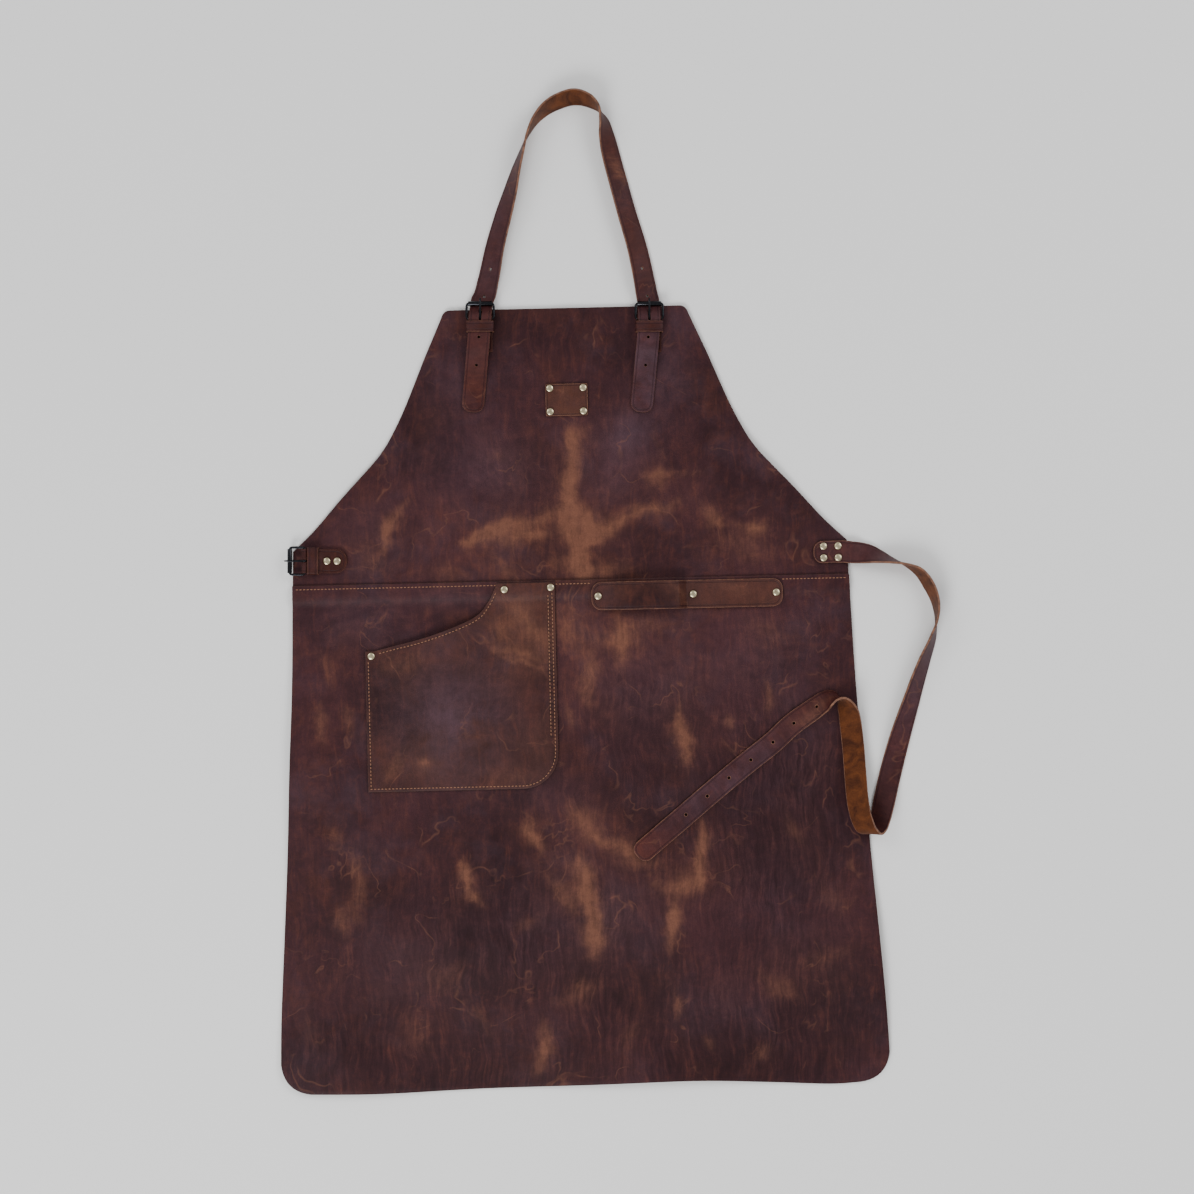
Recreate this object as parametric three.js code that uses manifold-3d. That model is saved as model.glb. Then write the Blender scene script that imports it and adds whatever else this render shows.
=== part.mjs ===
// Leather work apron, lying on its back: bib, skirt, pocket, tool loop, neck strap and waist strap.
// Millimetres. X runs across, Y from the hem to the bib, Z up. The waist seam is the line Y = 0.
import * as THREE from "three";
import { mergeVertices } from "three/addons/utils/BufferGeometryUtils.js";
import Module from "manifold-3d";

// Panels
const PANEL_THICK = 2;
const BIB_HEIGHT = 276;
const BIB_TOP_HALF = 123;
const BIB_CORNER_RADIUS = 8;
const WAIST_HALF = 277;
const WAIST_CORNER_UP = 38;
const SEAM_HALF = 278.5;
const SKIRT_LENGTH = 500;
const HEM_HALF = 304.5;
const HEM_DRIFT = 4; // the hem lies this far to the right of the bib's middle
const HEM_CORNER_RADIUS = 30;
const HEM_WAVE = 6;
const LAP_OVER = 4; // the skirt's top edge above the stitch line
const LAP_UNDER = 9; // the bib's lower edge below the stitch line
const JOGGLE = 8; // the skirt comes down off the bib over this length

// Pocket
const POCKET_LEFT = -207;
const POCKET_RIGHT = -16;
const POCKET_BOTTOM = -204;
const POCKET_CORNER_RADIUS = 36;
const POCKET_MOUTH_LOW = -63; // where the mouth meets the left side
const POCKET_MOUTH_WIDE = 133;
const POCKET_TOP = 2;
const POCKET_HEM = 12; // the stitched margin that lies flat
const POCKET_BULGE = 8;

// Tool loop
const LOOP_LEFT = 20.5;
const LOOP_LENGTH = 191;
const LOOP_WIDTH = 28;
const LOOP_MIDDLE = -13;
const LOOP_CORNER_RADIUS = 10;
const LOOP_RISE = 11;
const LOOP_RIVET_INSET = 6.5;
const LOOP_SLACK_LENGTH = 95; // between the two rivets of the raised part

// Label patch
const PATCH_WIDTH = 42;
const PATCH_HEIGHT = 32;
const PATCH_UP = 184;
const PATCH_RIVET_INSET = 4.3;

// Straps
const STRAP_WIDTH = 22;
const STRAP_THICK = 2.2;
const STRAP_HOLE_RADIUS = 1.5;
const STRAP_HOLE_PITCH = 28.3;
const TIP_ROUND = 9;
const NECK_HALF = 84.4;
const NECK_RISE = 210; // from the bib's top edge to the middle of the arch
const NECK_END_LENGTH = 93; // from the buckle's bar to the strap's tip
const WAIST_OUT = 122; // from the waist strap's root to its outermost bend
const WAIST_DROP = 281; // from its root to its lowest bend
const WAIST_ROOT_X = 243.4;
const WAIST_ROOT_Y = 26;
const WAIST_RIVET_PITCH_X = 14.6;
const WAIST_RIVET_PITCH_Y = 11.6;
const WAIST_RIVET_INSET = 9.8;

// Buckles, their tabs and keepers
const BUCKLE_WIDTH = 29.5;
const BUCKLE_WIRE = 2.4;
const BUCKLE_SPAN = 15; // from the heel bar to the roller bar
const ROLLER_RADIUS = 2.4;
const PRONG_WIDTH = 2.2;
const PRONG_THICK = 1.6;
const PRONG_OVERHANG = 5.6; // past the middle of the roller bar
const TAB_THICK = 1.6; // one of the tab's two layers
const NECK_TAB_LENGTH = 33;
const SIDE_TAB_LENGTH = 41.5;
const SIDE_TAB_ROUND = 11;
const KEEPER_THICK = 1.4;
const KEEPER_LENGTH = 10.6;
const SIDE_BAR_X = -264.9;
const SIDE_BAR_Y = 28.6;
const SIDE_RIVET_FIRST = 21.9;
const SIDE_RIVET_PITCH = 10.2;

// Rivets
const CAP_RADIUS = 3.75;
const CAP_HEIGHT = 2;
const HIDDEN_CAP_HEIGHT = 0.9;
const BACK_RADIUS = 3.5;
const BACK_HEIGHT = 1;
const POST_RADIUS = 1.4;

const GAP = 0.3; // between any two pieces
const BAR_LIFT = 3 * GAP + STRAP_THICK + ROLLER_RADIUS; // a bar's middle above the panel
const SWELL_RISE = 6; // how high the leather lifts off the surface
const REST = BACK_HEIGHT + GAP; // the leather over a rivet's back cap
const LEVEL_REACH = 66; // the leather stays level this far round a rivet
const FADE_REACH = 60;
const TAB_TOTAL = 2 * TAB_THICK;
const TAB_WIDTH = BUCKLE_WIDTH - 2 * BUCKLE_WIRE - 2 * GAP;
const BAR_RADIUS = BUCKLE_WIRE / 2;
const EYE_RADIUS = BAR_RADIUS + GAP + TAB_THICK;
const TAB_OVER_KEEPER = 2 * GAP + KEEPER_THICK;
const KEEPER_START = EYE_RADIUS - 0.2;
const DEG = Math.PI / 180;

// Half outline of the armhole: shares of the way out and of the way down from the bib's top corner.
const ARMHOLE = [
  { out: 0.12, down: 0.2 },
  { out: 0.25, down: 0.4 },
  { out: 0.35, down: 0.53 },
  { out: 0.42, down: 0.6 },
  { out: 0.5, down: 0.66 },
  { out: 0.675, down: 0.78 },
  { out: 0.85, down: 0.907 },
  { out: 1, down: 1 },
];

// The skirt's side: share of the skirt's length, and of its spread from the seam to the hem.
const SKIRT_SIDE = [
  { down: 0.05, out: 0.03 },
  { down: 0.21, out: 0.14 },
  { down: 0.37, out: 0.33 },
  { down: 0.53, out: 0.5 },
  { down: 0.69, out: 0.71 },
  { down: 0.85, out: 0.92 },
];

// The hem's wave: share of the hem's half width, and of HEM_WAVE downwards.
const HEM = [
  { across: -0.65, drop: 0.95 },
  { across: -0.33, drop: 0.5 },
  { across: 0, drop: 0.25 },
  { across: 0.35, drop: -0.1 },
  { across: 0.6, drop: 0.45 },
  { across: 0.8, drop: 1 },
];

// Where the leather lifts: middle and spread as shares of HEM_HALF across and SKIRT_LENGTH along.
const SWELLS = [
  { across: -0.72, along: 0.2, wide: 0.2, long: 0.14, rise: 0.8 },
  { across: 0.68, along: 0.24, wide: 0.18, long: 0.12, rise: 0.7 },
  { across: -0.4, along: 0.54, wide: 0.14, long: 0.1, rise: 0.5 },
  { across: 0.02, along: 0.55, wide: 0.16, long: 0.12, rise: 0.45 },
  { across: -0.92, along: -0.3, wide: 0.18, long: 0.2, rise: 0.9 },
  { across: 0.96, along: -0.08, wide: 0.14, long: 0.12, rise: 0.5 },
  { across: 1.0, along: -0.76, wide: 0.22, long: 0.16, rise: 1.1 },
  { across: -0.78, along: -1.0, wide: 0.26, long: 0.14, rise: 0.9 },
  { across: 0.25, along: -1.02, wide: 0.34, long: 0.14, rise: 1.2 },
  { across: -0.35, along: -0.72, wide: 0.22, long: 0.12, rise: 0.6 },
  { across: 0.4, along: -0.78, wide: 0.2, long: 0.12, rise: 0.5 },
];

// The pocket's mouth from the left side to the seam: shares of its width and of its height.
const POCKET_MOUTH = [
  { across: 0.07, up: 0.0 },
  { across: 0.19, up: 0.06 },
  { across: 0.42, up: 0.17 },
  { across: 0.66, up: 0.33 },
  { across: 0.84, up: 0.5 },
  { across: 0.92, up: 0.68 },
  { across: 0.97, up: 0.86 },
  { across: 1, up: 1 },
];

// The pocket's bulge along its height: share of the way up from the bottom to the seam.
const POCKET_SWELL = [
  { up: 0, rise: 0 },
  { up: 0.06, rise: 0 },
  { up: 0.4, rise: 0.65 },
  { up: 0.63, rise: 1 },
  { up: 0.78, rise: 0.8 },
  { up: 0.9, rise: 0 },
  { up: 1.1, rise: 0 },
];

// The raised part of the tool loop: share of the way from its first rivet to its second.
const LOOP_HUMP = [
  { along: 0.06, rise: 0 },
  { along: 0.14, rise: 0.2 },
  { along: 0.27, rise: 0.55 },
  { along: 0.45, rise: 0.85 },
  { along: 0.65, rise: 1 },
  { along: 0.84, rise: 0.95 },
  { along: 0.93, rise: 0 },
];

// The neck strap above the bib, left to right. across is a share of NECK_HALF and up of NECK_RISE.
// turn and lean give the direction of the strap's left edge: its bearing, and its rise above level.
const NECK_ROUTE = [
  { across: -0.946, up: 0.065, turn: 171, lean: -7 },
  { across: -0.893, up: 0.14, turn: 168, lean: -20 },
  { across: -0.808, up: 0.292, turn: 166, lean: -33 },
  { across: -0.698, up: 0.444, turn: 164, lean: -42 },
  { across: -0.609, up: 0.557, turn: 163, lean: -54 },
  { across: -0.526, up: 0.671, turn: 163, lean: -69 },
  { across: -0.462, up: 0.746, turn: 161, lean: -79 },
  { across: -0.395, up: 0.822, turn: 157, lean: -90 },
  { across: -0.27, up: 0.905, turn: 140, lean: -104 },
  { across: -0.15, up: 0.95, turn: 128, lean: -115 },
  { across: -0.01, up: 0.98, turn: 112, lean: -122 },
  { across: 0.18, up: 0.998, turn: 90, lean: -124 },
  { across: 0.345, up: 0.978, turn: 62, lean: -113 },
  { across: 0.449, up: 0.943, turn: 38, lean: -95 },
  { across: 0.51, up: 0.89, turn: 17, lean: -70 },
  { across: 0.543, up: 0.813, turn: 10, lean: -50 },
  { across: 0.58, up: 0.737, turn: 12, lean: -39 },
  { across: 0.672, up: 0.584, turn: 14, lean: -36 },
  { across: 0.77, up: 0.43, turn: 15, lean: -34 },
  { across: 0.874, up: 0.277, turn: 13, lean: -29 },
  { across: 0.949, up: 0.124, turn: 10, lean: -22 },
  { across: 0.978, up: 0.055, turn: 5, lean: -12 },
];

// A neck strap's end past its buckle: shares of NECK_END_LENGTH, and of STRAP_WIDTH aside.
const NECK_END = [
  { back: 0.08, aside: -0.02, over: "keeper" },
  { back: 0.16, aside: -0.04, over: "keeper" },
  { back: 0.28, aside: -0.08, over: "keeper" },
  { back: 0.42, aside: -0.14, over: "tab" },
  { back: 0.7, aside: -0.25, over: "bib" },
  { back: 1, aside: -0.37, over: "bib" },
];

// The waist strap from its root to its tip. out is a share of WAIST_OUT from the root and down of
// WAIST_DROP below it, lift a share of STRAP_WIDTH above what it lies on, turn and lean as above.
const WAIST_ROUTE = [
  { out: 0, down: 0, turn: 90, lean: 0, on: "bib" },
  { out: 0.15, down: 0, turn: 90, lean: 0, on: "bib" },
  { out: 0.25, down: 0, turn: 90, lean: 0, on: "bib" },
  { out: 0.31, down: 0.003, turn: 89, lean: -5, on: "bib" },
  { out: 0.4, down: 0.007, turn: 85, lean: -22, on: "floor", lift: 0.03 },
  { out: 0.51, down: 0.018, turn: 80, lean: -50, on: "floor" },
  { out: 0.65, down: 0.037, turn: 75, lean: -78, on: "floor" },
  { out: 0.748, down: 0.051, turn: 70, lean: -92, on: "floor" },
  { out: 0.853, down: 0.077, turn: 50, lean: -107, on: "floor" },
  { out: 0.933, down: 0.126, turn: 27, lean: -112, on: "floor" },
  { out: 0.984, down: 0.185, turn: 10, lean: -103, on: "floor" },
  { out: 0.992, down: 0.24, turn: -3, lean: -90, on: "floor" },
  { out: 0.957, down: 0.31, turn: -15, lean: -71, on: "floor" },
  { out: 0.885, down: 0.391, turn: -18, lean: -56, on: "floor" },
  { out: 0.825, down: 0.463, turn: -18, lean: -46, on: "floor" },
  { out: 0.771, down: 0.534, turn: -17, lean: -37, on: "floor" },
  { out: 0.666, down: 0.675, turn: -16, lean: -16, on: "floor" },
  { out: 0.577, down: 0.816, turn: -15, lean: 2, on: "floor" },
  { out: 0.534, down: 0.89, turn: -17, lean: 14, on: "floor" },
  { out: 0.497, down: 0.95, turn: -17, lean: 27, on: "floor" },
  { out: 0.462, down: 0.986, turn: -10, lean: 34, on: "floor", lift: 0.18 },
  { out: 0.421, down: 1, turn: -2, lean: 36, on: "floor", lift: 0.44 },
  { out: 0.374, down: 0.985, turn: 6, lean: 33, on: "floor", lift: 0.68 },
  { out: 0.335, down: 0.95, turn: 12, lean: 26, on: "skirt", lift: 0.63 },
  { out: 0.31, down: 0.895, turn: 8, lean: 17, on: "skirt", lift: 0.55 },
  { out: 0.298, down: 0.8, turn: 3, lean: 9, on: "skirt", lift: 0.26 },
  { out: 0.288, down: 0.7, turn: 3, lean: 6, on: "skirt", lift: 0.1 },
  { out: 0.272, down: 0.62, turn: 5, lean: 12, on: "skirt", lift: 0.04 },
  { out: 0.252, down: 0.565, turn: 14, lean: 34, on: "skirt", lift: 0.02 },
  { out: 0.226, down: 0.538, turn: 12, lean: 54, on: "skirt", lift: 0.02 },
  { out: 0.19, down: 0.521, turn: -12, lean: 65, on: "skirt", lift: 0.02 },
  { out: 0.148, down: 0.516, turn: -45, lean: 62, on: "skirt", lift: 0.02 },
  { out: 0.1, down: 0.52, turn: -56, lean: 50, on: "skirt", lift: 0.02 },
  { out: 0.04, down: 0.536, turn: -54, lean: 32, on: "skirt", lift: 0.03 },
  { out: -0.05, down: 0.563, turn: -51, lean: 16, on: "skirt", lift: 0.05 },
  { out: -0.2, down: 0.608, turn: -51, lean: 5, on: "skirt", lift: 0.05 },
  { out: -0.375, down: 0.675, turn: -51, lean: 0, on: "skirt", lift: 0.03 },
  { out: -0.557, down: 0.735, turn: -51, lean: 0, on: "skirt", lift: 0.02 },
  { out: -0.922, down: 0.861, turn: -51, lean: 0, on: "skirt", lift: 0.02 },
  { out: -1.1, down: 0.925, turn: -51, lean: 0, on: "skirt", lift: 0.03 },
  { out: -1.5, down: 1.067, turn: -51, lean: 0, on: "skirt", lift: 0.06 },
];

// The two neck buckles: side of the bib, how far the heel bar lies below the bib's top edge,
// and how far aside the strap runs under the roller, as a share of STRAP_WIDTH.
const NECK_BUCKLES = [
  { side: "left", across: -1, below: 9.4, angle: 88.8, strapAside: -0.05 },
  { side: "right", across: 1, below: 13.2, angle: 88.8, strapAside: 0.03 },
];

const leather = (name, colour, roughness = 0.62) =>
  new THREE.MeshStandardMaterial({ name, color: colour, roughness, metalness: 0 });
const PANEL_LEATHER = leather("oiled_panel_leather", "#4b2f2e");
const POCKET_LEATHER = leather("oiled_pocket_leather", "#4f332f");
const STRAP_LEATHER = leather("oiled_strap_leather", "#4a2b28");
const TAB_LEATHER = leather("oiled_tab_leather", "#4d2c25");
const PATCH_LEATHER = leather("patch_leather", "#5a3428");
const BUCKLE_METAL = new THREE.MeshStandardMaterial({ color: "#26282c", roughness: 0.35, metalness: 1 });
const RIVET_METAL = new THREE.MeshStandardMaterial({ color: "#b3aa94", roughness: 0.35, metalness: 1 });

const wasm = await Module();
wasm.setup();

function solidOf(geometry) {
  const bare = geometry.clone();
  bare.deleteAttribute("normal");
  bare.deleteAttribute("uv");
  const merged = mergeVertices(bare, 1e-4);
  return new wasm.Manifold(
    new wasm.Mesh({
      numProp: 3,
      vertProperties: merged.attributes.position.array,
      triVerts: new Uint32Array(merged.index.array),
    }),
  );
}

function meshOf(solid, name, material) {
  const made = solid.getMesh();
  const geometry = new THREE.BufferGeometry();
  geometry.setAttribute("position", new THREE.BufferAttribute(made.vertProperties, 3));
  geometry.setIndex(new THREE.BufferAttribute(made.triVerts, 1));
  geometry.computeVertexNormals();
  const mesh = new THREE.Mesh(geometry, material);
  mesh.name = name;
  return mesh;
}

const evenly = (from, to, cells) =>
  Array.from({ length: cells + 1 }, (_, i) => from + ((to - from) * i) / cells);

// Straight lines between the rows of a table, read at any place.
function readTable(rows, key, value, at) {
  const last = rows.length - 1;
  if (at <= rows[0][key]) return rows[0][value];
  if (at >= rows[last][key]) return rows[last][value];
  const i = rows.findIndex((row) => row[key] > at);
  const share = (at - rows[i - 1][key]) / (rows[i][key] - rows[i - 1][key]);
  return rows[i - 1][value] + share * (rows[i][value] - rows[i - 1][value]);
}

// Rivet places. through is the height of the leather from the surface of the lowest layer.
const LAPPED = 2 * PANEL_THICK + GAP;
const POCKETED = 3 * PANEL_THICK + 2 * GAP;
const LOOP_RIVET_X = LOOP_LEFT + LOOP_RIVET_INSET;
const waistRivetX = WAIST_ROOT_X + WAIST_RIVET_INSET;
const RIVETS = [
  ...[-1, 1].flatMap((x) =>
    [1, -1].map((y) => ({
      group: "patch",
      x: x * (PATCH_WIDTH / 2 - PATCH_RIVET_INSET),
      y: PATCH_UP + y * (PATCH_HEIGHT / 2 - PATCH_RIVET_INSET),
      through: LAPPED,
    })),
  ),
  ...[0, 1].flatMap((x) =>
    [0.5, -0.5].map((y) => ({
      group: "strap",
      x: waistRivetX + x * WAIST_RIVET_PITCH_X,
      y: WAIST_ROOT_Y + y * WAIST_RIVET_PITCH_Y,
      through: PANEL_THICK + 2 * GAP + STRAP_THICK,
    })),
  ),
  { group: "pocket", x: POCKET_LEFT + 6, y: POCKET_MOUTH_LOW - 5, through: LAPPED },
  {
    group: "pocket",
    x: POCKET_LEFT + POCKET_MOUTH_WIDE + 7.5,
    y: POCKET_TOP - 6.4,
    through: POCKETED,
  },
  { group: "pocket", x: POCKET_RIGHT - 4.2, y: POCKET_TOP - 5.2, through: POCKETED },
  ...[0, LOOP_SLACK_LENGTH, LOOP_LENGTH - 2 * LOOP_RIVET_INSET].map((along) => ({
    group: "loop",
    x: LOOP_RIVET_X + along,
    y: LOOP_MIDDLE,
    through: POCKETED,
  })),
];

// The buckles as places in the plan: the heel bar's middle and the bearing towards the roller.
const placeOf = (x, y, degrees) => ({
  x,
  y,
  angle: degrees * DEG,
  at: (along, aside) => {
    const c = Math.cos(degrees * DEG);
    const s = Math.sin(degrees * DEG);
    return [x + along * c - aside * s, y + along * s + aside * c];
  },
});
const neckPlaces = NECK_BUCKLES.map((b) =>
  placeOf(b.across * NECK_HALF, BIB_HEIGHT - b.below, b.angle),
);
const sidePlace = placeOf(SIDE_BAR_X, SIDE_BAR_Y, 178.5);
const NECK_RIVET_BACK = 23;
const tabRivets = [
  ...neckPlaces.map((p) => p.at(-NECK_RIVET_BACK, 0)),
  ...[0, 1].map((i) => sidePlace.at(-SIDE_RIVET_FIRST - i * SIDE_RIVET_PITCH, 0)),
];

// The lie of the leather: its underside over the surface, on a lattice with straight facets.
const COLUMNS = evenly(-HEM_HALF - 20, HEM_HALF + 20, 14);
const ROWS = [
  ...evenly(-SKIRT_LENGTH - HEM_WAVE - 8, -LAP_UNDER - JOGGLE, 11),
  ...evenly(-LAP_UNDER, BIB_HEIGHT + 8, 7),
];

function liftAt(x, y) {
  const swell = SWELLS.reduce((sum, s) => {
    const dx = (x / HEM_HALF - s.across) / s.wide;
    const dy = (y / SKIRT_LENGTH - s.along) / s.long;
    return sum + s.rise * SWELL_RISE * Math.exp(-dx * dx - dy * dy);
  }, 0);
  const spots = [...RIVETS.map((r) => [r.x, r.y]), ...tabRivets];
  const nearest = Math.min(...spots.map(([rx, ry]) => Math.hypot(x - rx, y - ry)));
  const level = THREE.MathUtils.clamp(1 - (nearest - LEVEL_REACH) / FADE_REACH, 0, 1);
  return REST * level + Math.max(0, swell - 0.3 - 2.2 * level);
}

const LATTICE = ROWS.map((y) => COLUMNS.map((x) => liftAt(x, y)));

function cellOf(lines, at) {
  const i = lines.findIndex((line) => line > at);
  return i < 0 ? lines.length - 2 : Math.max(0, i - 1);
}

function lie(x, y) {
  const c = cellOf(COLUMNS, x);
  const r = cellOf(ROWS, y);
  const u = (x - COLUMNS[c]) / (COLUMNS[c + 1] - COLUMNS[c]);
  const v = (y - ROWS[r]) / (ROWS[r + 1] - ROWS[r]);
  const [a, b] = [LATTICE[r][c], LATTICE[r][c + 1]];
  const [d, e] = [LATTICE[r + 1][c], LATTICE[r + 1][c + 1]];
  return u > v ? a + u * (b - a) + v * (e - b) : a + v * (d - a) + u * (e - d);
}

// How far each layer lies above the lowest one.
const lapRise = (y) =>
  THREE.MathUtils.clamp((y + LAP_UNDER + JOGGLE) / JOGGLE, 0, 1) * (PANEL_THICK + GAP);
const bibUnder = (x, y) => lie(x, y);
const skirtUnder = (x, y) => lie(x, y) + lapRise(y);
const bibTop = (x, y) => bibUnder(x, y) + PANEL_THICK;
const skirtTop = (x, y) => skirtUnder(x, y) + PANEL_THICK;

function pocketUnder(x, y) {
  const width = POCKET_RIGHT - POCKET_LEFT - 2 * POCKET_HEM;
  const across = THREE.MathUtils.clamp((x - POCKET_LEFT - POCKET_HEM) / width, 0, 1);
  const up = (y - POCKET_BOTTOM) / (POCKET_TOP - POCKET_BOTTOM);
  const bulge = Math.sin(Math.PI * across) * readTable(POCKET_SWELL, "up", "rise", up);
  return skirtTop(x, y) + GAP + POCKET_BULGE * bulge;
}

function loopUnder(x, y) {
  const along = (x - LOOP_RIVET_X) / LOOP_SLACK_LENGTH;
  const hump = LOOP_RISE * readTable(LOOP_HUMP, "along", "rise", along);
  return lie(x, y) + LAPPED + GAP + hump;
}

// A sheet of even thickness over a lattice of columns and rows, closed all round.
function sheet(columns, rows, under, thickness) {
  const wide = columns.length;
  const count = wide * rows.length;
  const positions = [0, thickness].flatMap((up) =>
    rows.flatMap((y) => columns.flatMap((x) => [x, y, under(x, y) + up])),
  );
  const faces = [];
  const wall = (a, b) => faces.push(a, b, b + count, a, b + count, a + count);
  for (let r = 0; r + 1 < rows.length; r++)
    for (let c = 0; c + 1 < wide; c++) {
      const a = r * wide + c;
      const [b, d, e] = [a + 1, a + wide, a + wide + 1];
      faces.push(a, e, b, a, d, e);
      faces.push(...[a, b, e, a, e, d].map((i) => i + count));
    }
  for (let c = 0; c + 1 < wide; c++) {
    wall(c, c + 1);
    wall(count - 1 - c, count - 2 - c);
  }
  for (let r = 0; r + 1 < rows.length; r++) {
    wall((r + 1) * wide, r * wide);
    wall((r + 1) * wide - 1, (r + 2) * wide - 1);
  }
  const geometry = new THREE.BufferGeometry();
  geometry.setAttribute("position", new THREE.Float32BufferAttribute(positions, 3));
  geometry.setIndex(faces);
  return solidOf(geometry);
}

const TALL = 120; // higher than anything on the apron
function upright(shape, segments = 4) {
  const geometry = new THREE.ExtrudeGeometry(shape, {
    depth: TALL,
    bevelEnabled: false,
    curveSegments: segments,
  });
  return solidOf(geometry.translate(0, 0, -TALL / 3));
}

const joined = (lines, extra) => [...new Set([...lines, ...extra])].sort((a, b) => a - b);
const within = (lines, low, high) => {
  const first = Math.max(0, lines.findLastIndex((line) => line < low));
  const last = lines.findIndex((line) => line > high);
  return lines.slice(first, last < 0 ? undefined : last + 1);
};

// A leather layer: its sheet cut to its outline.
function layer(outline, box, under, extraColumns = [], extraRows = []) {
  const columns = within(joined(COLUMNS, extraColumns), box.left, box.right);
  const rows = within(joined(ROWS, extraRows), box.bottom, box.top);
  return sheet(columns, rows, under, PANEL_THICK).intersect(upright(outline));
}

const vec = (x, y) => new THREE.Vector2(x, y);

function bibOutline() {
  const shape = new THREE.Shape();
  const drop = BIB_HEIGHT - WAIST_CORNER_UP;
  const side = ARMHOLE.map((row) =>
    vec(BIB_TOP_HALF + row.out * (WAIST_HALF - BIB_TOP_HALF), BIB_HEIGHT - row.down * drop),
  );
  const r = BIB_CORNER_RADIUS;
  shape.moveTo(-SEAM_HALF, -LAP_UNDER);
  shape.lineTo(SEAM_HALF, -LAP_UNDER);
  shape.lineTo(WAIST_HALF, WAIST_CORNER_UP);
  shape.splineThru([...side].reverse().slice(1));
  shape.lineTo(BIB_TOP_HALF + r * 0.1, BIB_HEIGHT - r);
  shape.quadraticCurveTo(BIB_TOP_HALF - r * 0.2, BIB_HEIGHT, BIB_TOP_HALF - r, BIB_HEIGHT);
  shape.lineTo(-BIB_TOP_HALF + r, BIB_HEIGHT);
  shape.quadraticCurveTo(-BIB_TOP_HALF + r * 0.2, BIB_HEIGHT, -BIB_TOP_HALF - r * 0.1, BIB_HEIGHT - r);
  shape.splineThru(side.map((p) => vec(-p.x, p.y)));
  shape.closePath();
  return shape;
}

function skirtOutline() {
  const shape = new THREE.Shape();
  const r = HEM_CORNER_RADIUS;
  const edge = (row, sign) =>
    vec(
      sign * (SEAM_HALF + row.out * (HEM_HALF - SEAM_HALF)) + row.down * HEM_DRIFT,
      -row.down * SKIRT_LENGTH,
    );
  const left = HEM_DRIFT - HEM_HALF;
  const right = HEM_DRIFT + HEM_HALF;
  const low = -SKIRT_LENGTH - HEM_WAVE * 0.8;
  shape.moveTo(SEAM_HALF, LAP_OVER);
  shape.lineTo(-SEAM_HALF, LAP_OVER);
  shape.splineThru(SKIRT_SIDE.map((row) => edge(row, -1)));
  shape.lineTo(left, low + r);
  shape.quadraticCurveTo(left + r * 0.1, low + r * 0.1, left + r, low);
  shape.splineThru(
    HEM.map((row) => vec(HEM_DRIFT + row.across * HEM_HALF, -SKIRT_LENGTH - row.drop * HEM_WAVE)),
  );
  shape.lineTo(right - r, low);
  shape.quadraticCurveTo(right - r * 0.1, low + r * 0.1, right, low + r);
  shape.splineThru([...SKIRT_SIDE].reverse().map((row) => edge(row, 1)));
  shape.closePath();
  return shape;
}

function pocketOutline() {
  const shape = new THREE.Shape();
  const r = POCKET_CORNER_RADIUS;
  const rise = POCKET_TOP - POCKET_MOUTH_LOW;
  shape.moveTo(POCKET_LEFT, POCKET_BOTTOM);
  shape.lineTo(POCKET_RIGHT - r, POCKET_BOTTOM);
  shape.absarc(POCKET_RIGHT - r, POCKET_BOTTOM + r, r, -Math.PI / 2, 0, false);
  shape.lineTo(POCKET_RIGHT, POCKET_TOP);
  shape.lineTo(POCKET_LEFT + POCKET_MOUTH_WIDE, POCKET_TOP);
  shape.splineThru(
    [...POCKET_MOUTH]
      .reverse()
      .slice(1)
      .map((row) =>
        vec(POCKET_LEFT + row.across * POCKET_MOUTH_WIDE, POCKET_MOUTH_LOW + row.up * rise),
      ),
  );
  shape.lineTo(POCKET_LEFT, POCKET_MOUTH_LOW);
  shape.closePath();
  return shape;
}

// A rectangle with rounded corners. Its corner radii start at the lower right.
function roundedRectangle(left, bottom, width, height, radii) {
  const [lowerRight, upperRight, upperLeft, lowerLeft] = radii;
  const right = left + width;
  const top = bottom + height;
  const shape = new THREE.Shape();
  shape.moveTo(left + lowerLeft, bottom);
  shape.lineTo(right - lowerRight, bottom);
  shape.absarc(right - lowerRight, bottom + lowerRight, lowerRight, -Math.PI / 2, 0, false);
  shape.lineTo(right, top - upperRight);
  shape.absarc(right - upperRight, top - upperRight, upperRight, 0, Math.PI / 2, false);
  shape.lineTo(left + upperLeft, top);
  shape.absarc(left + upperLeft, top - upperLeft, upperLeft, Math.PI / 2, Math.PI, false);
  shape.lineTo(left, bottom + lowerLeft);
  shape.absarc(left + lowerLeft, bottom + lowerLeft, lowerLeft, Math.PI, 1.5 * Math.PI, false);
  return shape;
}

const around = (r) => [r, r, r, r];

// The holes that the rivets' posts pass, through every layer.
function postHoles(places) {
  const radius = POST_RADIUS + GAP;
  return places
    .map(([x, y]) => {
      const post = new THREE.CylinderGeometry(radius, radius, TALL, 8).rotateX(Math.PI / 2);
      return solidOf(post.translate(x, y, TALL / 6));
    })
    .reduce((all, one) => all.add(one));
}

const rivetPlaces = RIVETS.map((r) => [r.x, r.y]);
const allHoles = postHoles([...rivetPlaces, ...tabRivets]);

const PANEL_BOX = { left: -HEM_HALF - 12, right: HEM_HALF + 12 };

function makeBib() {
  const box = { ...PANEL_BOX, bottom: -LAP_UNDER, top: BIB_HEIGHT };
  return layer(bibOutline(), box, bibUnder).subtract(allHoles);
}

function makeSkirt() {
  const box = { ...PANEL_BOX, bottom: -SKIRT_LENGTH - HEM_WAVE, top: LAP_OVER };
  return layer(skirtOutline(), box, skirtUnder, [], [LAP_OVER + 1]).subtract(allHoles);
}

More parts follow.
